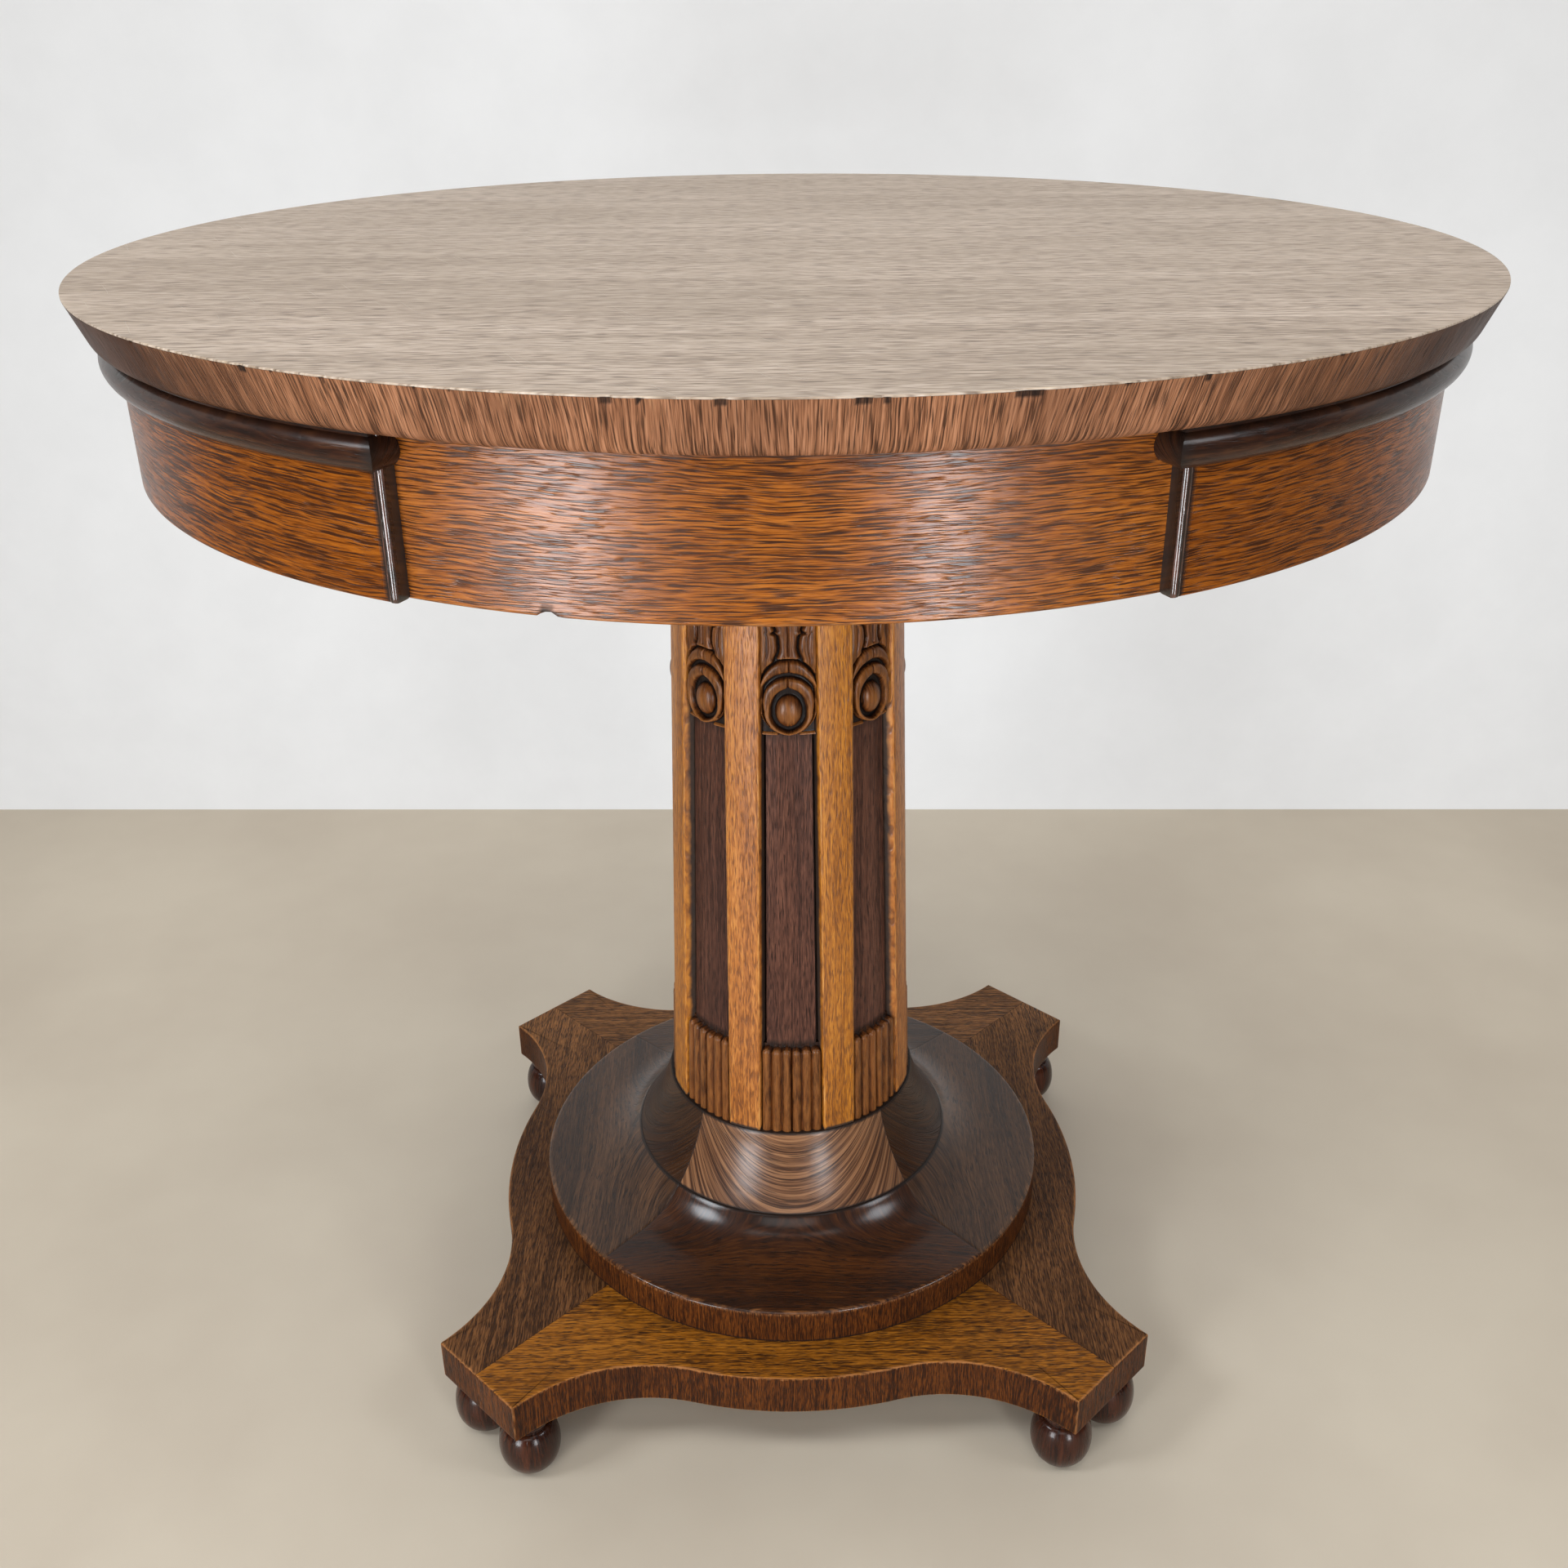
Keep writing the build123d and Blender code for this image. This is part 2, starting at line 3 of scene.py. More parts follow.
import bmesh
import bpy
import numpy as np
from mathutils import Matrix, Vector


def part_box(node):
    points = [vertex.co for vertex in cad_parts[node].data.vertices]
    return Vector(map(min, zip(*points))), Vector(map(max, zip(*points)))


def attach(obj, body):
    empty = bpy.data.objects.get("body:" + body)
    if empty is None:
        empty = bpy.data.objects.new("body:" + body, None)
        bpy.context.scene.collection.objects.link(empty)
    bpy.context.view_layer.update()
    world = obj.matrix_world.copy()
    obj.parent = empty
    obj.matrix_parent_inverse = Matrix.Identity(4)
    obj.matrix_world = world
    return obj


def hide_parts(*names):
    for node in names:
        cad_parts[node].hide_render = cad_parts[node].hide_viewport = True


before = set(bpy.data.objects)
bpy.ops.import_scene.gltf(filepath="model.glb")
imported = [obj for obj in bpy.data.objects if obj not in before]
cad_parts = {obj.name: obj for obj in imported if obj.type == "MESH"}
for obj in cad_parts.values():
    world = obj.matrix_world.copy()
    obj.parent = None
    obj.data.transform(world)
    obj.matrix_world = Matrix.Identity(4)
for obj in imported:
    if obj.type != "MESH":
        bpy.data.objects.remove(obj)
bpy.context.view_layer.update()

# A round pedestal table. Lengths here are in millimetres until a mesh is made.
# +Z is up, the front faces -Y, and angles run anticlockwise from +X.

MM = 0.001
FRONT = -90.0
rng = np.random.default_rng(11)


def top_of(node):
    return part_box(node)[1].z / MM


def foot_of(node):
    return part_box(node)[0].z / MM


# sizes that the CAD's boxes give
TABLE_H = top_of("tabletop_veneer")
TOP_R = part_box("tabletop_veneer")[1].x / MM
VENEER_FOOT = foot_of("tabletop_veneer")
UNDERSIDE = foot_of("tabletop_edge_band")
APRON_FOOT = foot_of("apron_ring")
RECESS_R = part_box("apron_ring")[1].x / MM
CORNICE_FOOT = foot_of("cornice_left")
COLUMN_FOOT = foot_of("pilaster_1")
COLUMN_HEAD = top_of("pilaster_1")
CAPITAL_FOOT = foot_of("carved_capital_1")
DISC_HUB = foot_of("base_collar")
PLINTH_TOP = top_of("plinth_board")
FOOT_TOP = foot_of("plinth_board")

# sizes that no box shows
LIP_R = 389.5
BAND_INNER_R = 352.0
RING_INNER_R = 352.0
PROUD_R = 378.0
RECESS_HALF_ANGLE = 26.2
BEAD_W = 4.5
BEAD_PROUD = 1.2
COLUMN_FOOT_R = 90.0
COLUMN_HEAD_R = 75.0
PANEL_DEPTH = 7.0
PILASTER_W = 24.0
STAVE_BORE_R = 32.0
BAYS = 8
BAY = 360.0 / BAYS
REED_TOP = 245.0
REEDS = 6
BOSS_Z = 500.0
SEAM_R = 117.0
COLLAR_HEAD_R = 91.5
COLLAR_MEAN_R = 104.0
COLLAR_ARCH = 0.0085
DISC_R = 189.0
DISC_RIM = 102.0
DISC_FLAT = (155.3, 104.5)
COVE_ANGLE = 50.0
ROD_BORE_R = 6.5
PLINTH_CORNER = (185.7, -243.7)
PLINTH_WAVE = (70.0, -212.3)
PLINTH_FRONT = -221.5
WAVE_ANGLE = 15.0
PLINTH_INNER_R = 120.0
BUN_FLAT_R = 9.0
BUN_R = 20.9
BUN_MID = 19.0
BUN_SHOULDER = (13.6, 37.3)
NECK_R = 15.0
FOOT_PLACES = [
    (sx * x, sy * y) for x, y in ((182.0, 218.0), (218.0, 182.0)) for sx in (-1, 1) for sy in (-1, 1)
]
SEAMS = (45.0, 135.0, 225.0, 315.0)

# ------------------------------------------------------------------ small maths


def radius_of(p):
    return np.hypot(p[:, 0], p[:, 1])


def degrees_of(p):
    return np.degrees(np.arctan2(p[:, 1], p[:, 0]))


def apart(angle, centre):
    """How far an angle is from a centre, in degrees, between -180 and 180."""
    return (angle - centre + 180) % 360 - 180


def polar(radius, angle, z):
    """Points at radii, angles in radians and heights."""
    return np.stack([radius * np.cos(angle), radius * np.sin(angle), z], -1).reshape(-1, 3)


def smooth(x, lo, hi):
    t = np.clip((np.asarray(x, float) - lo) / (hi - lo), 0, 1)
    return t * t * (3 - 2 * t)


def unit(v):
    v = np.asarray(v, float)
    return v / np.linalg.norm(v)


def wrap(a):
    return (a + pi) % (2 * pi) - pi


def bearing(centre, point):
    return atan2(point[1] - centre[1], point[0] - centre[0])


def column_r(z):
    share = (z - COLUMN_FOOT) / (COLUMN_HEAD - COLUMN_FOOT)
    return COLUMN_FOOT_R + share * (COLUMN_HEAD_R - COLUMN_FOOT_R)


def wavy(x, seed, waves=5, lowest=1.0):
    """A smooth wandering line between about -1 and 1, the same each run."""
    local = np.random.default_rng(seed)
    total = np.zeros_like(np.asarray(x, float))
    for k in range(waves):
        wave = np.sin(x * lowest * (1 + 1.7 * k) + local.uniform(0, 2 * pi))
        total += wave * local.uniform(0.4, 1) / (1 + 0.5 * k)
    return total / 2.2


def rounded(corners, steps=5, ease=1.5):
    """A closed outline (x, y, wear and shade) with its corners rounded; corners are (x, y, radius, wear and
    shade).
    """
    out = []
    count = len(corners)
    for i, (x, y, radius, wear_and_shade) in enumerate(corners):
        p = np.array([x, y], float)
        if radius == 0:
            out.append((x, y, wear_and_shade))
            continue
        before = np.array(corners[i - 1][:2], float) - p
        after = np.array(corners[(i + 1) % count][:2], float) - p
        reach_a, reach_b = np.linalg.norm(before), np.linalg.norm(after)
        before, after = before / reach_a, after / reach_b
        half = np.arccos(np.clip(before @ after, -1, 1)) / 2
        cut = radius / tan(half)
        centre = p + unit(before + after) * radius / sin(half)
        start, end = p + before * cut, p + after * cut
        a0 = bearing(centre, start)
        turn = wrap(bearing(centre, end) - a0)
        if cut + ease < reach_a / 2:
            out.append((*(start + before * ease), 0.0))
        for k in range(steps + 1):
            a = a0 + turn * k / steps
            out.append((centre[0] + radius * cos(a), centre[1] + radius * sin(a), wear_and_shade))
        if cut + ease < reach_b / 2:
            out.append((*(end + after * ease), 0.0))
    return np.array(out)


def tangent_arc(start, end, direction, steps):
    """Points of the arc that leaves start in a direction and ends at end."""
    start, end, t = np.array(start, float), np.array(end, float), unit(direction)
    side = np.array([-t[1], t[0]])
    chord = end - start
    radius = chord @ chord / (2 * (side @ chord))
    centre = start + side * radius
    a0 = bearing(centre, start)
    turn = (bearing(centre, end) - a0) % (2 * pi)
    if radius < 0:
        turn -= 2 * pi
    a = a0 + turn * np.arange(steps + 1) / steps
    return centre + abs(radius) * np.column_stack([np.cos(a), np.sin(a)])


def filled(line, longest):
    """The open line of points (x, y, wear and shade) with more points, so that no side is longer than
    'longest'.
    """
    out = [line[0]]
    for a, b in zip(line[:-1], line[1:]):
        parts = max(1, int(np.ceil(hypot(b[0] - a[0], b[1] - a[1]) / longest)))
        for k in range(1, parts + 1):
            out.append(a + (b - a) * k / parts)
    return np.array(out)


def closed_fill(outline, longest):
    return filled(np.vstack([outline, outline[:1]]), longest)[:-1]


# ------------------------------------------------------------------ meshes


def loop_faces(rows, columns, close_rows=False, close_columns=True):
    """Quads of a grid of points, numbered row by row."""
    i = np.arange(rows if close_rows else rows - 1)
    j = np.arange(columns if close_columns else columns - 1)
    i, j = np.meshgrid(i, j, indexing="ij")
    i2, j2 = (i + 1) % rows, (j + 1) % columns
    quads = np.stack([i * columns + j, i * columns + j2, i2 * columns + j2, i2 * columns + j], -1)
    return quads.reshape(-1, 4).tolist()


def angles_of(p, c):
    """Angle of each corner round the axis, kept next to its face's own angle."""
    centre = np.arctan2(c[:, 1], c[:, 0])
    return centre + wrap(np.arctan2(p[:, 1], p[:, 0]) - centre)


def read(items, key, shape, kind=float):
    """One property of all of a mesh's points, corners or faces; shape is -1 or (-1, 3)."""
    out = np.zeros(len(items) * (1 if shape == -1 else 3), kind)
    items.foreach_get(key, out)
    return out.reshape(shape)


def piece(name, points, faces, material, grain, replaces=(), wear_and_shade=None, crease=38.0, others=()):
    """Makes a mesh piece. grain gives (along, across, seed) for each face corner; the per-point value is
    above 0 where the wood is rubbed pale, and below 0 for dark joints, dirt and painted shade.
    others holds (material, pick) pairs; pick(centres, normals) says which faces get that material."""
    mesh = bpy.data.meshes.new(name)
    mesh.from_pydata((np.asarray(points) * MM).tolist(), [], faces)
    wear_and_shade_level = mesh.attributes.new("wear_and_shade_level", "FLOAT", "POINT")
    wear_and_shade_level.data.foreach_set("value", np.zeros(len(points)) if wear_and_shade is None else np.asarray(wear_and_shade, float))
    shape = bmesh.new()
    shape.from_mesh(mesh)
    bmesh.ops.remove_doubles(shape, verts=shape.verts, dist=2e-6)
    bmesh.ops.dissolve_degenerate(shape, edges=shape.edges, dist=1e-7)
    bmesh.ops.recalc_face_normals(shape, faces=shape.faces)
    shape.to_mesh(mesh)
    shape.free()
    mesh.update()

    at = read(mesh.vertices, "co", (-1, 3))[read(mesh.loops, "vertex_index", -1, int)] / MM
    sizes = read(mesh.polygons, "loop_total", -1, int)
    centre = read(mesh.polygons, "center", (-1, 3)) / MM
    normal = read(mesh.polygons, "normal", (-1, 3))
    which = np.zeros(len(sizes), np.int32)
    for k, (_, pick) in enumerate(others):
        which[pick(centre, normal)] = k + 1
    centre, normal = np.repeat(centre, sizes, axis=0), np.repeat(normal, sizes, axis=0)
    along, across, seed = grain(at, centre, normal)
    vector = np.column_stack([along * MM, across * MM, np.broadcast_to(seed, (len(at),))])
    mesh.attributes.new("grain", "FLOAT_VECTOR", "CORNER").data.foreach_set("vector", vector.ravel())

    mesh.shade_smooth()
    mesh.set_sharp_from_angle(angle=radians(crease))
    for each in (material, *(other for other, _ in others)):
        mesh.materials.append(each)
    mesh.polygons.foreach_set("material_index", which)
    obj = bpy.data.objects.new(name, mesh)
    bpy.context.scene.collection.objects.link(obj)
    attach(obj, "root")
    if replaces:
        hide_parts(*replaces)
    return obj


def revolved(outline, angles, full=True):
    """Points and faces of a closed outline (r, z) turned through the angles, in degrees."""
    a = np.radians(angles)[:, None]
    r, z = outline[:, 0][None, :], outline[:, 1][None, :]
    rows, columns = len(angles), len(outline)
    points = polar(r, a, np.broadcast_to(z, (rows, columns)))
    faces = loop_faces(rows, columns, close_rows=full)
    if not full:
        faces.append(list(range(columns)))
        faces.append(list(range((rows - 1) * columns, rows * columns)))
    return points, faces


def turned(points, degrees_):
    a = radians(degrees_)
    out = np.array(points, float)
    out[:, 0], out[:, 1] = (
        points[:, 0] * cos(a) - points[:, 1] * sin(a), points[:, 0] * sin(a) + points[:, 1] * cos(a),
    )
    return out


def ring_angles(count, seams=(), gap=0.26):
    """Even angles round a circle, with three close together at each seam."""
    a = set(np.round(np.arange(count) * 360.0 / count, 6))
    for s in seams:
        a = {x for x in a if abs(apart(x, s)) > 2.2 * gap}
        a |= {s - gap, s, s + gap}
    return np.array(sorted(a))


def seam_share(points, gap=0.26):
    """1 on a mitre seam, 0 away from it, for points round the axis."""
    off = [np.abs(apart(degrees_of(points), s)) for s in SEAMS]
    return np.clip(1 - np.min(off, axis=0) / gap, 0, 1)


# ------------------------------------------------------------------ materials


class Graph:
    """Short calls for building a node tree."""

    def __init__(self, name):
        self.material = bpy.data.materials.new(name)
        self.material.use_nodes = True
        self.tree = self.material.node_tree
        self.tree.nodes.clear()

    def add(self, kind, inputs=(), **settings):
        node = self.tree.nodes.new(kind)
        for key, value in settings.items():
            setattr(node, key, value)
        for key, value in dict(inputs).items():
            if isinstance(value, bpy.types.NodeSocket):
                self.tree.links.new(value, node.inputs[key])
            else:
                node.inputs[key].default_value = value
        return node

    def math(self, operation, a, b, clamp=False):
        return self.add("ShaderNodeMath", {0: a, 1: b}, operation=operation, use_clamp=clamp).outputs[0]

    def plus(self, a, b, clamp=False):
        return self.math("ADD", a, b, clamp)

    def minus(self, a, b):
        return self.math("SUBTRACT", a, b)

    def times(self, a, b):
        return self.math("MULTIPLY", a, b)

    def span(self, value, lo, hi, out_lo=0.0, out_hi=1.0):
        inputs = {"Value": value, "From Min": lo, "From Max": hi, "To Min": out_lo, "To Max": out_hi}
        return self.add("ShaderNodeMapRange", inputs, clamp=True).outputs[0]

    def mix(self, share, a, b, blend="MIX"):
        node = self.add("ShaderNodeMix", data_type="RGBA", blend_type=blend)
        for key, value in ((0, share), (6, a), (7, b)):
            if isinstance(value, bpy.types.NodeSocket):
                self.tree.links.new(value, node.inputs[key])
            elif key == 0:
                node.inputs[key].default_value = value
            else:
                node.inputs[key].default_value = (*value, 1.0)
        return node.outputs[2]

    def noise(self, vector, scale=1.0, detail=2.0, rough=0.5, warp=0.0):
        inputs = {"Vector": vector, "Scale": scale, "Detail": detail, "Roughness": rough}
        return self.add("ShaderNodeTexNoise", inputs | {"Distortion": warp}).outputs["Fac"]

    def grained(self, at, stretch, **settings):
        """Noise drawn out along the grain; at is (along, across, seed)."""
        u, v, seed = at
        parts = {0: self.times(u, stretch[0]), 1: self.times(v, stretch[1]), 2: seed}
        return self.noise(self.add("ShaderNodeCombineXYZ", parts).outputs[0], **settings)

    def place(self):
        """X, Y and Z in the object's own frame."""
        at = self.add("ShaderNodeTexCoord").outputs["Object"]
        return self.add("ShaderNodeSeparateXYZ", {0: at}).outputs

    def finish(self, shader, height=None, depth=0.0):
        if height is not None:
            bump = self.add("ShaderNodeBump", {"Height": height, "Distance": depth})
            self.tree.links.new(bump.outputs[0], shader.inputs["Normal"])
        out = self.add("ShaderNodeOutputMaterial")
        self.tree.links.new(shader.outputs[0], out.inputs[0])
        return self.material


def wood(
    name, light, mid, dark, pore, rough=(0.32, 0.5), coat=0.0, coat_rough=0.2, pores=0.8,
    pore_size=(90.0, 1050.0), pore_level=(0.57, 0.66), fibre=(9.0, 420.0), flecks=(75.0, 620.0),
    rings=(2.2, 55.0), ring_share=0.3, cloud=0.35, cloud_scale=(5.0, 11.0), cloud_colour=None,
    worn=(0.55, 0.33, 0.16), grime_and_shade=(0.012, 0.007, 0.005), contrast=(0.41, 0.59), specular=0.15,
    wander=0.0015, bump=0.00025, along=None, extra=None,
):
    """Oak: fibres, growth bands, open pores, clouds, wear on the arrises, and dirt and painted shade in the
    recesses.
    """
    g = Graph(name)
    if along is None:
        grain = g.add("ShaderNodeAttribute", attribute_name="grain").outputs["Vector"]
        u, v, w = g.add("ShaderNodeSeparateXYZ", {0: grain}).outputs
    else:
        place = g.place()
        u, v, w = (place[k] for k in {"X": (0, 1, 2), "Y": (1, 0, 2), "Z": (2, 0, 1)}[along])
    # the grain wanders a little from side to side
    slow = g.grained((u, v, w), (7.0, 12.0))
    v = g.plus(v, g.times(g.minus(slow, 0.5), 0.012))
    ripple = g.grained((u, v, w), (38.0, 70.0), detail=1.0)
    v = g.plus(v, g.times(g.minus(ripple, 0.5), wander))
    at = (u, v, w)
    band = g.grained(at, rings, detail=3.0, rough=0.6, warp=0.3)
    line = g.grained(at, fibre, detail=4.0, rough=0.65)
    fleck = g.grained(at, flecks, rough=0.6, warp=0.5)
    fine_share = 0.5 - ring_share / 2
    figure = g.plus(g.times(line, fine_share), g.times(fleck, fine_share))
    figure = g.span(g.plus(figure, g.times(band, ring_share)), *contrast)
    colour = g.mix(g.span(figure, 0.0, 0.5), dark, mid)
    colour = g.mix(g.span(figure, 0.5, 1.0), colour, light)
    # short open pores, closer together in the dark growth bands
    dash = g.grained((u, v, g.times(w, 5.0)), pore_size, detail=1.0)
    dash = g.span(g.plus(dash, g.times(g.minus(0.5, band), 0.1)), *pore_level)
    colour = g.mix(g.times(dash, pores), colour, pore)
    haze = g.span(g.grained(at, cloud_scale, detail=4.0, rough=0.6), 0.42, 0.68)
    colour = g.mix(g.times(haze, cloud), colour, cloud_colour or dark)
    height = g.minus(g.times(fleck, 0.5), g.times(dash, 0.8))
    roughness = g.span(g.plus(g.times(haze, 0.6), g.times(line, 0.6)), 0.2, 0.9, *rough)
    if extra:
        colour, height = extra(g, at, colour, height)
    if along is None:
        # the per-point value is above 0 where the wood is rubbed pale, and below 0 where it is darkened by
        # dark joints, dirt and painted shade in recesses, gaps and under other parts
        wear_and_shade_level = g.add("ShaderNodeAttribute", attribute_name="wear_and_shade_level").outputs["Fac"]
        fine = g.grained(at, (70.0, 420.0), detail=3.0, rough=0.65)
        rub = g.plus(wear_and_shade_level, g.times(g.minus(fine, 0.62), 1.6))
        rub = g.times(g.span(rub, 0.1, 0.75), g.span(wear_and_shade_level, 0.05, 0.35))
        colour = g.mix(g.times(rub, 0.85), colour, worn)
        dirt_and_shade = g.minus(g.times(g.minus(fine, 0.5), 0.9), wear_and_shade_level)
        dirt_and_shade = g.times(g.span(dirt_and_shade, 0.1, 0.8), g.span(g.times(wear_and_shade_level, -1.0), 0.02, 0.3))
        colour = g.mix(g.times(dirt_and_shade, 0.95), colour, grime_and_shade)
        roughness = g.plus(roughness, g.times(dirt_and_shade, 0.3), clamp=True)
    shader = g.add(
        "ShaderNodeBsdfPrincipled",
        {
            "Base Color": colour, "Roughness": roughness, "Specular IOR Level": specular,
            "Coat Weight": coat, "Coat Roughness": coat_rough,
        },
    )
    return g.finish(shader, height, depth=bump)


def scratched(g, at, colour, height):
    """Faint scratches and small pale knocks on the tabletop."""
    for turn, seed in ((0.5, 3.0), (-1.1, 9.0), (2.0, 15.0)):
        x = g.plus(g.times(at[0], cos(turn)), g.times(at[1], sin(turn)))
        y = g.minus(g.times(at[1], cos(turn)), g.times(at[0], sin(turn)))
        mark = g.span(g.grained((x, y, seed), (14.0, 900.0), detail=0.0), 0.80, 0.84)
        colour = g.mix(g.times(mark, 0.25), colour, (0.62, 0.55, 0.47))
        height = g.minus(height, g.times(mark, 0.6))
    return colour, height


def painted_light_by_depth(start, end, tint):
    """Painted light and shade: wood that goes over to a tinted colour between two depths, in metres from the
    table's axis.
    """

    def extra(g, at, colour, height):
        share = g.span(g.place()[1], start, end)
        return g.mix(share, colour, g.mix(1.0, colour, tint, blend="MULTIPLY")), height

    return extra


TOP = wood(
    "top_veneer", (0.50, 0.405, 0.325), (0.385, 0.295, 0.22), (0.24, 0.175, 0.12), (0.11, 0.07, 0.045),
    rough=(0.38, 0.5), pores=0.75, pore_size=(70.0, 640.0), pore_level=(0.53, 0.68), fibre=(6.0, 420.0),
    rings=(1.4, 38.0), ring_share=0.16, cloud=0.3, cloud_scale=(2.6, 7.0),
    cloud_colour=(0.22, 0.18, 0.14), worn=(0.62, 0.48, 0.33), specular=0.3, bump=0.00018,
    extra=scratched,
)
BAND = wood(
    "edge_band", (0.39, 0.180, 0.094), (0.245, 0.103, 0.049), (0.075, 0.028, 0.013),
    (0.022, 0.010, 0.006), rough=(0.34, 0.5), pores=0.8, pore_size=(65.0, 1300.0),
    pore_level=(0.53, 0.65), fibre=(9.0, 800.0), flecks=(48.0, 1300.0), rings=(2.0, 130.0),
    ring_share=0.2, specular=0.11, cloud=0.45, cloud_scale=(8.0, 9.0), worn=(0.42, 0.22, 0.11),
    # the lip's sides and back are tinted much darker than its front: painted shade
    extra=painted_light_by_depth(-0.37, -0.27, (0.21, 0.14, 0.06)),
)


def apron_wood(key, light, mid, dark, specular=0.42):
    """The round apron's oak; the two proud panels' is darker and less glossy."""
    return wood(
        f"apron_oak_{key}", light, mid, dark, (0.030, 0.009, 0.003), rough=(0.22, 0.33), pores=0.95,
        pore_size=(52.0, 1200.0), pore_level=(0.505, 0.61), fibre=(8.0, 700.0), flecks=(85.0, 1300.0),
        rings=(1.6, 40.0), ring_share=0.1, cloud=0.2, specular=specular, wander=0.0022,
        worn=(0.34, 0.14, 0.04),
    )


APRON = apron_wood("front", (0.36, 0.110, 0.011), (0.245, 0.068, 0.006), (0.11, 0.027, 0.003))
APRON_SIDE = apron_wood("side", (0.25, 0.070, 0.006), (0.17, 0.044, 0.004), (0.075, 0.018, 0.002), 0.16)
MOULDING = wood(
    "dark_moulding", (0.060, 0.022, 0.009), (0.030, 0.011, 0.006), (0.014, 0.007, 0.005),
    (0.006, 0.004, 0.003), rough=(0.22, 0.36), coat=0.25, coat_rough=0.18, pores=0.4,
    worn=(0.20, 0.07, 0.03), bump=0.0001,
)
STRIP = wood(
    "glossy_strip", (0.022, 0.012, 0.009), (0.013, 0.008, 0.006), (0.007, 0.005, 0.004),
    (0.005, 0.003, 0.003), rough=(0.16, 0.24), coat=0.8, coat_rough=0.10, pores=0.3,
    worn=(0.16, 0.065, 0.045), specular=0.5, bump=0.00008,
)
PILASTERS = [
    wood(
        f"pilaster_oak_{key}", *colours, (0.10, 0.030, 0.008), rough=(0.33, 0.5), pores=0.7,
        pore_size=(110.0, 820.0), pore_level=(0.54, 0.66), fibre=(9.0, 420.0), flecks=(110.0, 800.0),
        rings=(3.0, 90.0), ring_share=0.2, worn=(0.55, 0.26, 0.07), specular=0.4, cloud=0.2,
    )
    for key, colours in (
        ("amber", ((0.48, 0.185, 0.036), (0.34, 0.110, 0.016), (0.17, 0.050, 0.008))),
        ("gold", ((0.48, 0.180, 0.016), (0.33, 0.108, 0.008), (0.17, 0.052, 0.005))),
    )
]
PANEL = wood(
    "dark_panel_oak", (0.125, 0.050, 0.030), (0.070, 0.027, 0.017), (0.032, 0.013, 0.009),
    (0.010, 0.005, 0.004), rough=(0.36, 0.5), fibre=(9.0, 460.0), flecks=(90.0, 800.0), pores=0.7,
    worn=(0.25, 0.13, 0.07),
)
CARVED = wood(
    "carved_oak", (0.150, 0.046, 0.010), (0.085, 0.025, 0.006), (0.030, 0.009, 0.003),
    (0.010, 0.005, 0.003), rough=(0.28, 0.42), coat=0.15, coat_rough=0.25, fibre=(10.0, 420.0),
    flecks=(90.0, 800.0), pores=0.5, worn=(0.24, 0.088, 0.022), grime_and_shade=(0.004, 0.002, 0.0015), cloud=0.3,
)
COLLAR = wood(
    "collar_oak_front", (0.26, 0.125, 0.058), (0.155, 0.068, 0.030), (0.050, 0.020, 0.010),
    (0.016, 0.008, 0.005), rough=(0.26, 0.4), coat=0.3, coat_rough=0.24, rings=(2.5, 380.0),
    ring_share=0.6, fibre=(8.0, 620.0), pores=0.7, contrast=(0.42, 0.58),
)
# a much darker copy of the collar's front oak for the other quarters: painted shade on the quarters turned
# from the light
COLLAR_SHADED_SIDE = wood(
    "collar_oak_side_shaded", (0.062, 0.025, 0.009), (0.034, 0.013, 0.005), (0.018, 0.008, 0.005),
    (0.008, 0.005, 0.003), rough=(0.26, 0.4), coat=0.1, coat_rough=0.24, fibre=(8.0, 460.0), pores=0.6,
)


def disc_wood(key, *colours, **settings):
    """The disc's front quarter is redder and darker than the other three."""
    return wood(
        f"disc_oak_{key}", *colours, rough=(0.36, 0.50), coat=0.5, fibre=(9.0, 650.0),
        flecks=(90.0, 1100.0), rings=(2.0, 60.0), pores=0.7, **settings,
    )


DISC = disc_wood(
    "side", (0.105, 0.048, 0.021), (0.060, 0.027, 0.012), (0.024, 0.011, 0.006), (0.009, 0.005, 0.004),
    specular=0.08, worn=(0.26, 0.115, 0.045),
)
DISC_FRONT = disc_wood(
    "front", (0.072, 0.023, 0.006), (0.038, 0.012, 0.004), (0.017, 0.007, 0.004), (0.007, 0.004, 0.003),
    coat_rough=0.17, specular=0.07, worn=(0.30, 0.115, 0.035),
)


def plinth_wood(key, light, mid, dark, extra=None):
    """The plinth's front quarter is golden, its other quarters brown, its upright edges red-brown."""
    return wood(
        f"plinth_oak_{key}", light, mid, dark, (0.016, 0.007, 0.004), rough=(0.36, 0.52), pores=0.85,
        pore_size=(115.0, 1150.0), pore_level=(0.52, 0.66), fibre=(10.0, 650.0), flecks=(110.0, 1150.0),
        rings=(2.0, 55.0), ring_share=0.15, contrast=(0.43, 0.57), specular=0.1,
        worn=(0.36, 0.15, 0.05), extra=extra,
    )


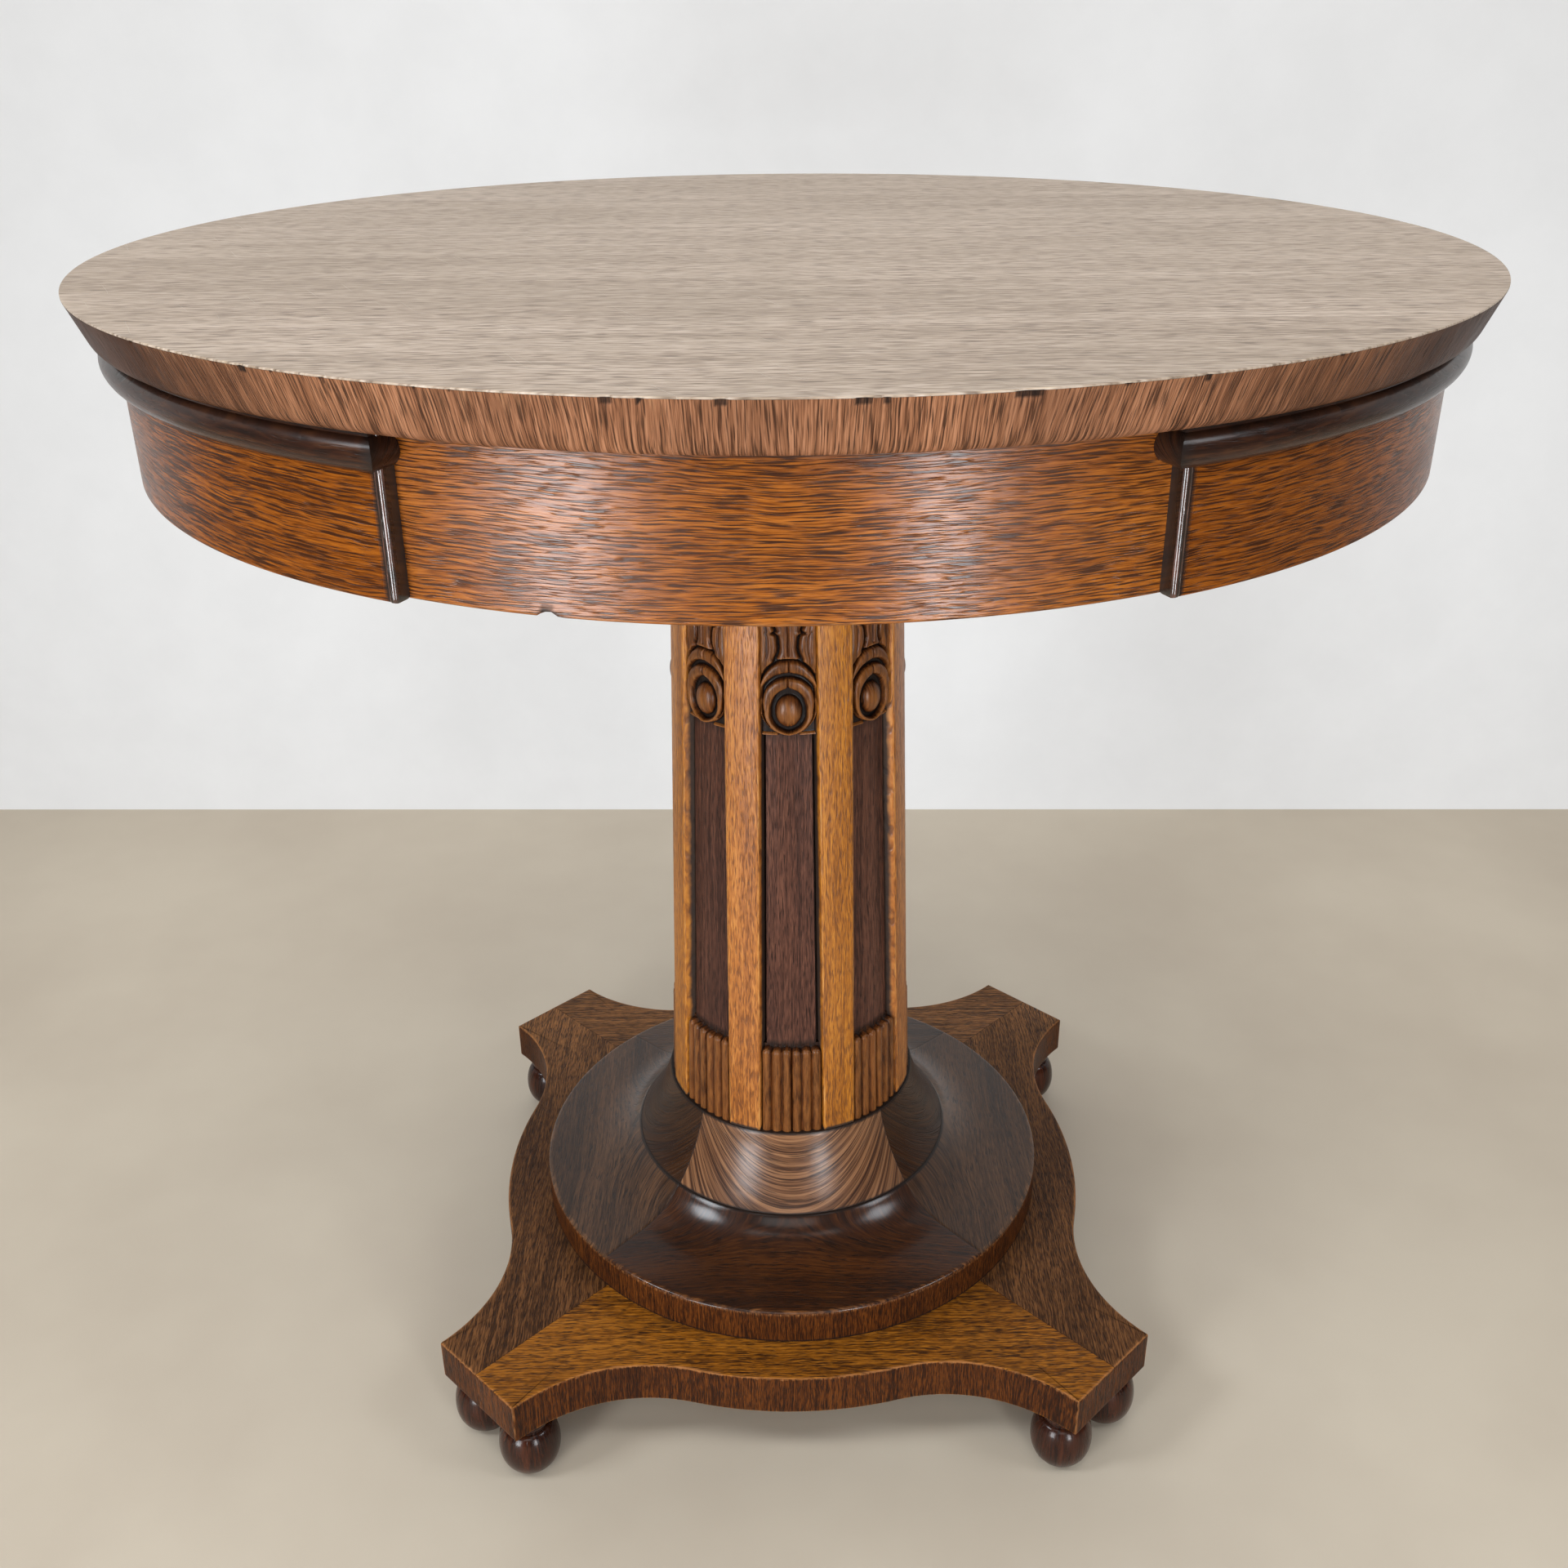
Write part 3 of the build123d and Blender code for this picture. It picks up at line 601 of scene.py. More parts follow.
PLINTH_SIDE = plinth_wood(
    "side", (0.18, 0.074, 0.024), (0.105, 0.042, 0.014), (0.042, 0.017, 0.006),
    # the plinth is tinted paler towards its back: painted light
    painted_light_by_depth(0.04, 0.2, (1.8, 1.9, 1.9))
)
PLINTH_FRONT_WOOD = plinth_wood(
    "front", (0.375, 0.138, 0.014), (0.232, 0.078, 0.007), (0.085, 0.028, 0.004)
)
PLINTH_EDGE = plinth_wood("edge", (0.118, 0.034, 0.006), (0.066, 0.018, 0.004), (0.022, 0.007, 0.003))
FOOT = wood(
    "foot_wood", (0.065, 0.017, 0.007), (0.032, 0.009, 0.004), (0.012, 0.004, 0.003),
    (0.006, 0.003, 0.002), rough=(0.2, 0.32), coat=0.3, coat_rough=0.15, pores=0.35,
    worn=(0.22, 0.08, 0.035), bump=0.00012,
)


def raw_wood(name, along):
    return wood(
        name, (0.52, 0.37, 0.22), (0.40, 0.26, 0.14), (0.24, 0.145, 0.075), (0.12, 0.07, 0.04),
        rough=(0.6, 0.8), pores=0.35, rings=(1.2, 45.0), along=along,
    )


def steel():
    g = Graph("dull_steel")
    at = g.add("ShaderNodeTexCoord").outputs["Object"]
    tint = g.noise(at, 60.0, 3.0)
    rust = g.span(g.noise(at, 220.0, 4.0, 0.7), 0.55, 0.75)
    colour = g.mix(tint, (0.30, 0.29, 0.27), (0.52, 0.50, 0.46))
    colour = g.mix(g.times(rust, 0.6), colour, (0.16, 0.075, 0.035))
    rough = g.span(g.plus(tint, g.times(rust, 0.6)), 0.3, 1.3, 0.32, 0.7)
    inputs = {"Base Color": colour, "Roughness": rough, "Metallic": 1.0}
    shader = g.add("ShaderNodeBsdfPrincipled", inputs)
    return g.finish(shader, rust, depth=0.0001)


# ------------------------------------------------------------------ tabletop

# chips in the arris as (angle, half width in degrees, depth); the front ones' angles are from the front
front_chips = (
    (-34.0, 0.4, 0.9), (-10.0, 0.42, 1.3), (-3.7, 0.34, 1.1), (3.9, 0.6, 0.9), (5.1, 0.3, 1.2),
    (12.9, 0.75, 1.2)
)
chips = [(FRONT + a, w, d) for a, w, d in front_chips]
chips += [(rng.uniform(0, 360), rng.uniform(0.12, 0.4), rng.uniform(0.3, 0.8)) for _ in range(26)]


def chip_depth(angle):
    """How deep the top's arris is broken away at an angle, in millimetres."""
    depth = np.zeros_like(angle)
    for centre, width, deep in chips:
        off = apart(angle, centre) / width
        depth = np.maximum(depth, deep * np.clip(1 - off**2, 0, 1) ** 0.5)
    return depth * (0.75 + 0.25 * wavy(np.radians(angle), 5, 6, 90.0))


top_angles = np.arange(0, 360, 0.25)


def edge_piece(name, corners, material, grain, node, reach, longest, filled_from):
    """A full ring under or over the worn arris. Its chips reach down 'reach' millimetres from the top.
    Outside the radius 'filled_from', no side of its outline is longer than 'longest'."""
    outline = closed_fill(rounded(corners, 6), longest)
    r = outline[:, 0]
    outline = outline[(r <= r.min() + 0.01) | (r >= filled_from)]
    points, faces = revolved(outline, top_angles)
    angle, radius = degrees_of(points), radius_of(points)
    wear_and_shade = np.tile(outline[:, 2], len(top_angles))
    share = smooth(points[:, 2], TABLE_H - reach, TABLE_H - 1.2)
    cut = chip_depth(angle) * share * smooth(radius, TOP_R - 3.0, TOP_R - 0.9)
    points[:, :2] *= ((radius - cut) / radius)[:, None]
    wear_and_shade = wear_and_shade * (0.55 + 0.45 * wavy(np.radians(angle), 8, 6, 14.0))
    wear_and_shade = np.where((cut > 0.2) & (points[:, 2] < VENEER_FOOT + 0.3), -0.75, wear_and_shade)
    return piece(name, points, faces, material, grain, (node,), wear_and_shade)


def flat_grain(seed):
    return lambda p, c, n: (p[:, 0], p[:, 1], seed)


def upright_grain(seed, radius):
    return lambda p, c, n: (p[:, 2], angles_of(p, c) * radius, seed)


def level_grain(seed, radius):
    return lambda p, c, n: (angles_of(p, c) * radius, p[:, 2] + radius_of(p) * 0.8, seed)


HUB_R = 0.5
edge_piece(
    "tabletop_face",
    [
        (HUB_R, VENEER_FOOT, 0, 0), (TOP_R, VENEER_FOOT, 0.3, 0.2), (TOP_R, TABLE_H, 0.4, 0.45),
        (HUB_R, TABLE_H, 0, 0),
    ],
    TOP, flat_grain(2.0), "tabletop_veneer",
    reach=4.0, longest=30.0, filled_from=HUB_R,
)
edge_piece(
    "tabletop_lip",
    [
        (BAND_INNER_R, UNDERSIDE, 0, 0), (LIP_R, UNDERSIDE, 9.0, 0.15), (TOP_R, VENEER_FOOT, 0, 0.4),
        (BAND_INNER_R, VENEER_FOOT, 0, 0),
    ],
    BAND, upright_grain(7.0, TOP_R), "tabletop_edge_band",
    reach=5.0, longest=2.0, filled_from=LIP_R - 8,
)

# ------------------------------------------------------------------ apron

# the recesses are a little off square, and the cornices stop a little short of them or past them
RECESS_TURN = -0.5
CORNICE_SHORT = {"right": -0.1, "left": 0.9}
panel_arc = 180 - 2 * RECESS_HALF_ANGLE
panel_start = {"right": FRONT + RECESS_HALF_ANGLE + RECESS_TURN}
panel_start["left"] = panel_start["right"] + 180
panel_ends = {
    "front_right": (panel_start["right"], -1), "back_right": (panel_start["right"] + panel_arc, 1),
    "back_left": (panel_start["left"], -1), "front_left": (panel_start["left"] + panel_arc, 1),
}
JOINT_LINE = 1.2
LIP_SHADOW_DEPTH = 7.0


def apron_wear_and_lip_shadow(outline, rows):
    """Wear of the outline, with the dark joint line under the lip and a band of painted shadow under it."""
    wear_and_shade = np.where(outline[:, 1] > UNDERSIDE - JOINT_LINE, -1.0, outline[:, 2])
    # a band below the joint line is darkened: painted shadow of the lip
    wear_and_shade = np.where((outline[:, 1] > UNDERSIDE - LIP_SHADOW_DEPTH) & (wear_and_shade > -1), -0.45, wear_and_shade)
    return np.tile(wear_and_shade, rows)


ring_outline = closed_fill(
    rounded(
        [
            (RING_INNER_R, APRON_FOOT, 0.8, 0.2), (RECESS_R, APRON_FOOT, 1.0, 0.45),
            (RECESS_R, UNDERSIDE - JOINT_LINE * 2, 0, 0), (RECESS_R, UNDERSIDE, 0, -1),
            (RING_INNER_R, UNDERSIDE, 0, 0),
        ]
    ),
    6.0,
)
ring_turn = ring_angles(720)
ring_points, ring_faces = revolved(ring_outline, ring_turn)
ring_wear_and_shade = apron_wear_and_lip_shadow(ring_outline, len(ring_turn))
# one nick in the lower edge: its angle, half width in degrees and height
NICK_AT, NICK_HALF, NICK_H = FRONT - 16.2, 0.75, 2.6
nick_off = apart(degrees_of(ring_points), NICK_AT) / NICK_HALF
nick = np.clip(1 - nick_off**2, 0, 1) * smooth(radius_of(ring_points), 364, RECESS_R)
nick *= 1 - smooth(ring_points[:, 2], APRON_FOOT, APRON_FOOT + 4)
ring_points[:, 2] += NICK_H * nick
ring_wear_and_shade = np.where(nick > 0.1, -0.7, ring_wear_and_shade)
piece(
    "apron_round", ring_points, ring_faces, APRON, level_grain(1.0, RECESS_R),
    ("apron_ring",), ring_wear_and_shade,
)

panel_outline = closed_fill(
    rounded(
        [
            (RECESS_R, APRON_FOOT, 0, 0), (PROUD_R, APRON_FOOT, 1.0, 0.3), (PROUD_R, UNDERSIDE, 0, 0),
            (RECESS_R, UNDERSIDE, 0, 0),
        ]
    ),
    6.0,
)
bead_angle = np.degrees(BEAD_W / PROUD_R)
for side_name, seed in (("right", 4.0), ("left", 5.5)):
    start = panel_start[side_name]
    turn = np.linspace(start + bead_angle, start + panel_arc - bead_angle, 257)
    points, faces = revolved(panel_outline, turn, full=False)
    to_end = np.repeat(np.minimum(turn - turn[0], turn[-1] - turn), len(panel_outline))
    # the panel is darkened where it meets the end strips: painted shade
    wear_and_shade = np.where(to_end < 0.2, -1.0, np.tile(panel_outline[:, 2], len(turn)))
    piece(
        f"apron_proud_panel_{side_name}", points, faces, APRON_SIDE,
        level_grain(seed, PROUD_R), (f"apron_panel_{side_name}",), wear_and_shade,
    )


def lofted(sections):
    """Points and faces of closed sections, one above the other, with both ends filled."""
    columns = len(sections[0])
    points = np.vstack(sections)
    faces = loop_faces(len(sections), columns)
    faces.append(list(range(columns)))
    faces.append(list(range((len(sections) - 1) * columns, len(sections) * columns)))
    return points, faces


def at_height(plan, z):
    """Plan points lifted to a height."""
    return np.column_stack([plan, np.full(len(plan), float(z))])


def placed(flat, angle, z, radius=0.0):
    """Plan points (outwards, sideways) at an angle, as points in space."""
    a = radians(angle)
    x, y = flat[:, 0] + radius, flat[:, 1]
    return at_height(np.column_stack([x * cos(a) - y * sin(a), x * sin(a) + y * cos(a)]), z)


for k, (end_name, (angle, side)) in enumerate(panel_ends.items()):
    inside, outside = RECESS_R - PROUD_R, BEAD_PROUD
    # the strip's inner points, against the recessed apron, are darkened: painted shade
    plan = rounded(
        [
            (inside, 0, 0, -1), (inside, -side * BEAD_W, 0, -1), (outside, -side * BEAD_W, 1.7, 0.5),
            (outside, 0, 1.7, 0.5),
        ],
        6, 0.3,
    )
    rounding = ((0.0, 0.72), (0.35, 0.88), (1.2, 0.97), (2.4, 1.0))
    levels = [(APRON_FOOT + rise, size) for rise, size in rounding]
    levels += [(z, 1.0) for z in np.linspace(APRON_FOOT + 6, UNDERSIDE - 0.5, 14)]
    middle = np.array([(inside + outside) / 2, -side * BEAD_W / 2])
    sections = [placed(middle + (plan[:, :2] - middle) * size, angle, z, PROUD_R) for z, size in levels]
    points, faces = lofted(sections)
    wear_and_shade = np.tile(plan[:, 2], len(levels))
    piece(
        f"end_strip_{end_name}", points, faces, STRIP,
        upright_grain(20.0 + k, PROUD_R), (f"end_bead_{end_name}",), wear_and_shade,
    )


def ovolo():
    """The cornice's section, as (projection, height, wear and shade): a full roll under a gap, with the gap
    and the roll's underside painted dark as shade.
    """
    neck, roll_out = 1.6, 8.4
    middle, half = (UNDERSIDE + CORNICE_FOOT) / 2 - 0.6, (UNDERSIDE - CORNICE_FOOT) / 2 - 0.9
    a = np.radians(np.linspace(68, -84, 17))
    roll = np.column_stack([neck + roll_out * np.cos(a), middle + half * np.sin(a)])
    # the back foot against the apron, the gap under the lip and the roll's underside are darkened: painted
    # shade
    line = [(0, CORNICE_FOOT + 0.1, -0.6), (0, UNDERSIDE, 0)]
    line += [(4.4, UNDERSIDE, -1.0), (4.4, UNDERSIDE - 0.7, -1.0)]
    line += [(x, y, 0.06) for x, y in roll] + [(1.7, CORNICE_FOOT + 0.1, -0.5)]
    return np.array(line)


section = ovolo()
for side_name, seed in (("right", 31.0), ("left", 33.0)):
    first = panel_start[side_name] + CORNICE_SHORT[side_name]
    last = panel_start[side_name] + panel_arc - CORNICE_SHORT[side_name]
    rows, row_wears_and_shade = [], []

    def row(angle, radius, out, along, dark):
        """One section of the moulding: out and along are how far it projects in each direction."""
        a = radians(angle)
        radial = np.array([cos(a), sin(a), 0.0])
        tangent = np.array([-sin(a), cos(a), 0.0])
        at = radial * radius + section[:, :1] * (radial * out + tangent * along)
        at[:, 2] = section[:, 1]
        rows.append(at)
        row_wears_and_shade.append(np.where(dark, -0.8, section[:, 2]))

    for d in (0.0, 2.0, 5.0):
        row(first, RECESS_R + d, 0, -1, False)
    row(first, PROUD_R - 0.25, 0, -1, False)
    row(first, PROUD_R, 1, -1, True)
    for angle in (first + 0.04, *np.linspace(first + 0.4, last - 0.4, 241), last - 0.04):
        row(angle, PROUD_R, 1, 0, False)
    row(last, PROUD_R, 1, 1, True)
    row(last, PROUD_R - 0.25, 0, 1, False)
    for d in (5.0, 2.0, 0.0):
        row(last, RECESS_R + d, 0, 1, False)
    points, faces = lofted(rows)
    piece(
        f"cornice_moulding_{side_name}", points, faces, MOULDING,
        level_grain(seed, PROUD_R),
        (
            f"cornice_{side_name}", f"cornice_return_front_{side_name}",
            f"cornice_return_back_{side_name}",
        ),
        np.concatenate(row_wears_and_shade),
    )

# ------------------------------------------------------------------ column

HALF_W = PILASTER_W / 2
ARRIS = 1.3


def pilaster_section(z, seed):
    """Plan of a pilaster at a height: worn arrises, a slightly uneven face."""
    radius = column_r(z)
    arris = np.linspace(HALF_W - ARRIS, HALF_W, 6)
    y = np.concatenate([-arris[::-1], np.linspace(-HALF_W + 3, HALF_W - 3, 9), arris])
    over = np.clip((np.abs(y) - (HALF_W - ARRIS)) / ARRIS, 0, 1)
    x = np.sqrt(radius**2 - y**2) - ARRIS * (1 - np.sqrt(1 - over**2))
    x -= 0.18 * (1 + wavy(np.full(1, z * 0.02), seed, 4)[0]) * (over > 0)
    panel = radius - PANEL_DEPTH
    left, right = [[panel - 4.0, -HALF_W], [panel, -HALF_W]], [[panel, HALF_W], [panel - 4.0, HALF_W]]
    return np.vstack([left, np.column_stack([x, y]), right])


pilaster_levels = np.concatenate(
    [[COLUMN_FOOT, COLUMN_FOOT + 0.8], np.linspace(COLUMN_FOOT + 3, COLUMN_HEAD - 3, 56), [COLUMN_HEAD]]
)
# the first two points each side lie on the pilaster's side walls in the gap and are darkened: painted shade
half_wear_and_shade = [-1, -1, 0.15, 0.5, 0.8, 0.8, 0.5, 0.2]
edge_wear_and_shade = np.concatenate([half_wear_and_shade, np.zeros(9), half_wear_and_shade[::-1]])
for k in range(BAYS):
    angle = FRONT + BAY * (k + 0.5)
    points, faces = lofted([placed(pilaster_section(z, k), angle, z) for z in pilaster_levels])
    wear_and_shade = []
    for z in pilaster_levels:
        # the pilaster's foot, against the collar, is darkened: painted shade
        low = -0.9 if z < COLUMN_FOOT + 1 else 0.0
        patchy = 0.6 + 0.5 * wavy(np.full(1, z * 0.05), 40 + k)[0]
        wear_and_shade.append(np.where(edge_wear_and_shade > 0, edge_wear_and_shade * patchy, edge_wear_and_shade) + low)
    piece(
        f"column_pilaster_{k + 1}", points, faces, PILASTERS[1 - k % 2],
        upright_grain(50.0 + 3 * k, COLUMN_FOOT_R), (f"pilaster_{k + 1}",), np.concatenate(wear_and_shade),
    )


def half_width(z, height):
    """Half the clear angle of a bay, in radians, where its surface stands 'height' above the panel."""
    radius = column_r(z) - PANEL_DEPTH + height
    return radians(BAY / 2) - np.arcsin((HALF_W - 0.15) / radius)


def relief(levels, columns, height_at, backing):
    """Points and faces of a carved block that fills a front bay. height_at gives the surface's height."""
    t = np.linspace(-1, 1, columns)
    z, t = np.meshgrid(levels, t, indexing="ij")
    s = t * half_width(z, 2.0) * (column_r(z) - PANEL_DEPTH + 2.0)
    height = height_at(s, z, t)
    angle = t * half_width(z, height) + radians(FRONT)
    front = polar(column_r(z) - PANEL_DEPTH + height, angle, z)
    back_angle = t * half_width(z, -backing) + radians(FRONT)
    back = polar(column_r(z) - PANEL_DEPTH - backing, back_angle, z)
    rows, cols = z.shape
    faces = loop_faces(rows, cols, close_columns=False)
    edge = [r * cols for r in range(rows)]
    edge += [(rows - 1) * cols + c for c in range(1, cols)]
    edge += [r * cols + cols - 1 for r in range(rows - 2, -1, -1)]
    edge += list(range(cols - 2, 0, -1))
    # the sides run round the front's edge, and the flat back has one point behind each of its points
    count, offset = len(edge), rows * cols
    for i in range(count):
        j = (i + 1) % count
        faces.append([edge[i], edge[j], offset + j, offset + i])
    faces.append([offset + i for i in range(count)])
    return np.vstack([front, back[edge]]), faces, height, s


def spread(height, steps):
    """A blurred copy of a height field."""
    out = height.copy()
    for _ in range(steps):
        wide = np.pad(out, 1, mode="edge")
        around = wide[:-2, 1:-1] + wide[2:, 1:-1] + wide[1:-1, :-2] + wide[1:-1, 2:]
        out = (around + 2 * out) / 6
    return out


def carved_wear_and_shade(height, low, high, steps=30):
    """Pale wear on the high and sharp places, and painted shade in the hollows."""
    edge = height - spread(height, steps)
    return np.clip((height - low) / (high - low) * 1.3 - 0.75 + edge * 0.45, -1, 1)


def dome(q, power=2.0):
    """A rounded section over 0..1, zero outside it."""
    return np.clip(1 - np.abs(2 * q - 1) ** power, 0, 1) ** (1 / power) * ((q > 0) & (q < 1))


def capital_height(s, z, t):
    """An oval boss inside two split hoods, with a lobed stem and a leaf on each side above them."""
    y = z - BOSS_Z + 1.0
    rho = np.hypot(s, y)
    alpha = np.degrees(np.abs(np.arctan2(s, y)))
    boss_rim = np.interp(alpha, [0, 10, 30, 60, 90, 130, 180], [15.4, 14.6, 13.4, 11.6, 10.9, 12.6, 14.4])
    hood_1 = np.interp(
        alpha, [0, 20, 45, 60, 75, 90, 130, 180], [22.5, 22.0, 20.2, 18.2, 16.4, 15.3, 15.6, 16.6]
    )
    gap_2 = np.interp(alpha, [0, 20, 45, 58, 70, 180], [25.2, 24.6, 22.4, 19.4, 16.6, 15.0])
    hood_2 = np.interp(
        alpha, [0, 10, 20, 30, 48, 65, 90, 115, 140, 180],
        [33.6, 33.6, 31.6, 28.8, 23.4, 19.9, 17.4, 16.9, 16.4, 16.6],
    )
    h = np.where(rho < boss_rim, 0.5, 0.9)
    d = np.hypot(s / 8.6, (y + 0.6) / 10.8)
    q = (rho - boss_rim) / (hood_1 - boss_rim)
    ring = (q > 0) & (q < 1)
    h = np.where(ring, 1.6 + 3.9 * dome(np.clip(q, 0, 1), 2.6), h)
    foot_2 = np.maximum(gap_2, hood_1)
    q = (rho - foot_2) / (hood_2 - foot_2)
    ring = (q > 0) & (q < 1) & (alpha < 150)
    h = np.where(ring, 1.2 + 3.9 * dome(np.clip(q, 0, 1), 2.6), h)
    # split lines at the middle of both hoods
    split = np.exp(-(((s - 0.35 * np.sign(y - 24)) / 0.42) ** 2)) * (y > 14) * (y < 33)
    h = h - 2.3 * split * (h > 2)
    h = np.where(d < 1, 1.0 + 5.5 * np.sqrt(np.clip(1 - d**2, 0, 1)), h)
    # stem with a flared foot and serrated lobes
    stem = np.interp(
        y, [34.5, 36, 39, 42, 47, 50, 51.5, 53, 58, 75, 92, 104, 108, 122, 151],
        [7.6, 6.9, 5.6, 5.2, 5.6, 6.3, 8.6, 7.2, 9.0, 6.0, 9.4, 7.0, 9.6, 6.4, 8.0],
    )
    above = (rho > hood_2 + 1.3) & (y > 20)
    q = np.abs(s) / stem
    on_stem = above & (q < 1) & (y > 34.5)
    stem_h = 1.8 + 3.1 * np.sqrt(np.clip(1 - q**4, 0, 1)) - 1.5 * np.exp(-((s / 0.55) ** 2)) * (y > 37)
    h = np.where(on_stem, stem_h, h)
    leaf_in = stem + 1.3
    leaf_out = 18.4 - 0.02 * np.clip(y, 0, 200)
    q = (np.abs(s) - leaf_in) / np.maximum(leaf_out - leaf_in, 0.5)
    on_leaf = above & (q > 0) & (q < 1)
    tip = smooth(y, 22, 34)
    vein = 0.9 * np.exp(-(((q - 0.5) / 0.07) ** 2)) * tip
    leaf_h = 1.4 + (2.2 + 1.6 * tip) * dome(np.clip(q, 0, 1), 3.0) - vein
    h = np.where(on_leaf, leaf_h, h)
    # ledge at the foot, and the dark gap beside the pilasters
    h = np.where((z < CAPITAL_FOOT + 1.1) & (np.abs(s) > 6.5), 2.4, h)
    h = spread(h, 2)
    return np.where(np.abs(t) > 0.975, np.minimum(h, 0.6), h)


def panel_height(s, z, t):
    """A plain panel with a deep shadow gap down each side."""
    gap = smooth(np.abs(t), 0.885, 0.93)
    return -3.6 * gap + 0.12 * wavy(s * 0.35 + z * 0.004, 3)


def reed_height(s, z, t):
    """Six round reeds with domed heads."""
    reach = 0.97
    place = (t / reach + 1) / 2 * REEDS
    off = (place - np.floor(place) - 0.5) * 2
    # each head stands at its own height
    index = np.clip(np.floor(place), 0, REEDS - 1).astype(int)
    local = np.random.default_rng(4).uniform(-0.35, 0.35, REEDS)
    top = REED_TOP - 0.6 + local[index]
    pitch = half_width(z, 2.0) * (column_r(z) - PANEL_DEPTH + 2.0) * reach * 2 / REEDS
    rise = np.clip((z - (top - pitch / 2)) / (pitch / 2), 0, None)
    d2 = off**2 + rise**2
    h = np.where(d2 < 1, 2.6 + 3.5 * np.sqrt(np.clip(1 - d2 * 0.92, 0, 1)), 0.0)
    h = np.where((d2 >= 1) & (z < top - pitch / 2), 1.6, h)
    h = np.where((d2 >= 1) & (rise > 0), 0.0, h)
    h = np.where(np.abs(t) > reach, 0.2, h)
    return spread(h, 1)


def bay_piece(kind, node, levels, columns, height_at, material, seed, wear_and_shade_at, replaces_all=None):
    points, faces, height, s = relief(levels, columns, height_at, 5.0)
    wear_and_shade = wear_and_shade_at(height, s, levels)
    # the block's sides and back are darkened: painted shade where it meets the pilasters and the core
    wear_and_shade = np.concatenate([wear_and_shade.ravel(), np.full(len(points) - wear_and_shade.size, -1.0)])
    for k in range(BAYS):
        piece(
            f"{kind}_{k + 1}", turned(points, BAY * k), faces, material,
            upright_grain(seed + 2.3 * k, COLUMN_FOOT_R), (replaces_all or f"{node}_{k + 1}",), wear_and_shade,
            crease=60.0,
        )


def panel_painted_shade(height, s, levels):
    z = np.broadcast_to(levels[:, None], height.shape)
    # all of this is painted shade: the side gaps, the foot above the reeds and the top under the capital are
    # darkened
    dark = -smooth(-height, 0.5, 2.5)
    dark = dark - 0.9 * (1 - smooth(z, REED_TOP - 1, REED_TOP + 7))
    return np.clip(dark - 0.5 * smooth(z, CAPITAL_FOOT - 10, CAPITAL_FOOT), -1, 0)


def capital_wear_shade_and_highlight(height, s, levels):
    z = np.broadcast_to(levels[:, None], height.shape)
    wear_and_shade = carved_wear_and_shade(height, 0.9, 5.6)
    # the ledge at the foot is painted pale: wear on its arris and a painted highlight
    ledge = (z < CAPITAL_FOOT + 1.5) & (np.abs(s) > 7)
    return np.where(ledge, 0.9, wear_and_shade)


def reed_wear_and_shade(height, s, levels):
    return np.clip(carved_wear_and_shade(height, 1.5, 6.0, 8) * 0.8 + 0.15, -1, 1)


fine_levels = np.linspace(CAPITAL_FOOT, CAPITAL_FOOT + 80, 230)
bay_piece(
    "carved_head", "carved_capital",
    np.array([*fine_levels, *np.linspace(CAPITAL_FOOT + 81, COLUMN_HEAD, 60)]), 97, capital_height,
    CARVED, 80.0, capital_wear_shade_and_highlight,
)
bay_piece(
    "reeded_foot", "reeded_block",
    np.array([*np.linspace(COLUMN_FOOT, REED_TOP - 6, 20), *np.linspace(REED_TOP - 5.5, REED_TOP + 1.5, 26)]),
    109, reed_height, CARVED, 110.0, reed_wear_and_shade,
)
bay_piece(
    "column_panel", "column_staves", np.linspace(REED_TOP - 2, CAPITAL_FOOT + 0.5, 60), 61,
    panel_height, PANEL, 140.0, panel_painted_shade, replaces_all="column_staves",
)

core = np.array(
    [
        (STAVE_BORE_R, COLUMN_FOOT, 0), (COLUMN_FOOT_R - PANEL_DEPTH - 4.5, COLUMN_FOOT, 0),
        (COLUMN_HEAD_R - PANEL_DEPTH - 4.5, COLUMN_HEAD, 0), (STAVE_BORE_R, COLUMN_HEAD, 0),
    ]
)
core = closed_fill(core, 40.0)
core_points, core_faces = revolved(core, ring_angles(128))
# the core is darkened all over: painted shade seen through the gaps between the panels
piece(
    "column_core", core_points, core_faces, PANEL,
    upright_grain(160.0, COLUMN_FOOT_R), ("column_staves",), np.full(len(core_points), -0.8),
)

# ------------------------------------------------------------------ base

cove = (cos(radians(COVE_ANGLE)), -sin(radians(COVE_ANGLE)))


def quarter(c):
    """Number of the mitred quarter, from 0 at +X anticlockwise to 3 at the front."""
    return np.floor((degrees_of(c) + 45) / 90) % 4


def front_quarter(c, n):
    return quarter(c) == 3


def rim_face(c, n):
    """The upright rim of the disc."""
    return (np.abs(n[:, 2]) < 0.5) & (radius_of(c) > DISC_R - 3)


def upright_face(c, n):
    return np.abs(n[:, 2]) < 0.35


def mitred(p, c, seed):
    """Grain of four mitred quarters: along is sideways in each quarter, across is outwards."""
    k = quarter(c)
    a = np.radians(k * 90)
    out = p[:, 0] * np.cos(a) + p[:, 1] * np.sin(a)
    along = -p[:, 0] * np.sin(a) + p[:, 1] * np.cos(a)
    return along, out + p[:, 2] * 0.9, seed + k * 1.7


def collar_grain(p, c, n):
    """Each quarter's veneer shows nested arches, so the grain bends with the square of the distance."""
    k = quarter(c)
    a = angles_of(p, c) - np.radians(k * 90)
    along = wrap(a) * COLLAR_MEAN_R
    return along * 0.5, p[:, 2] * 1.15 - COLLAR_ARCH * along**2, 200.0 + k * 2.1


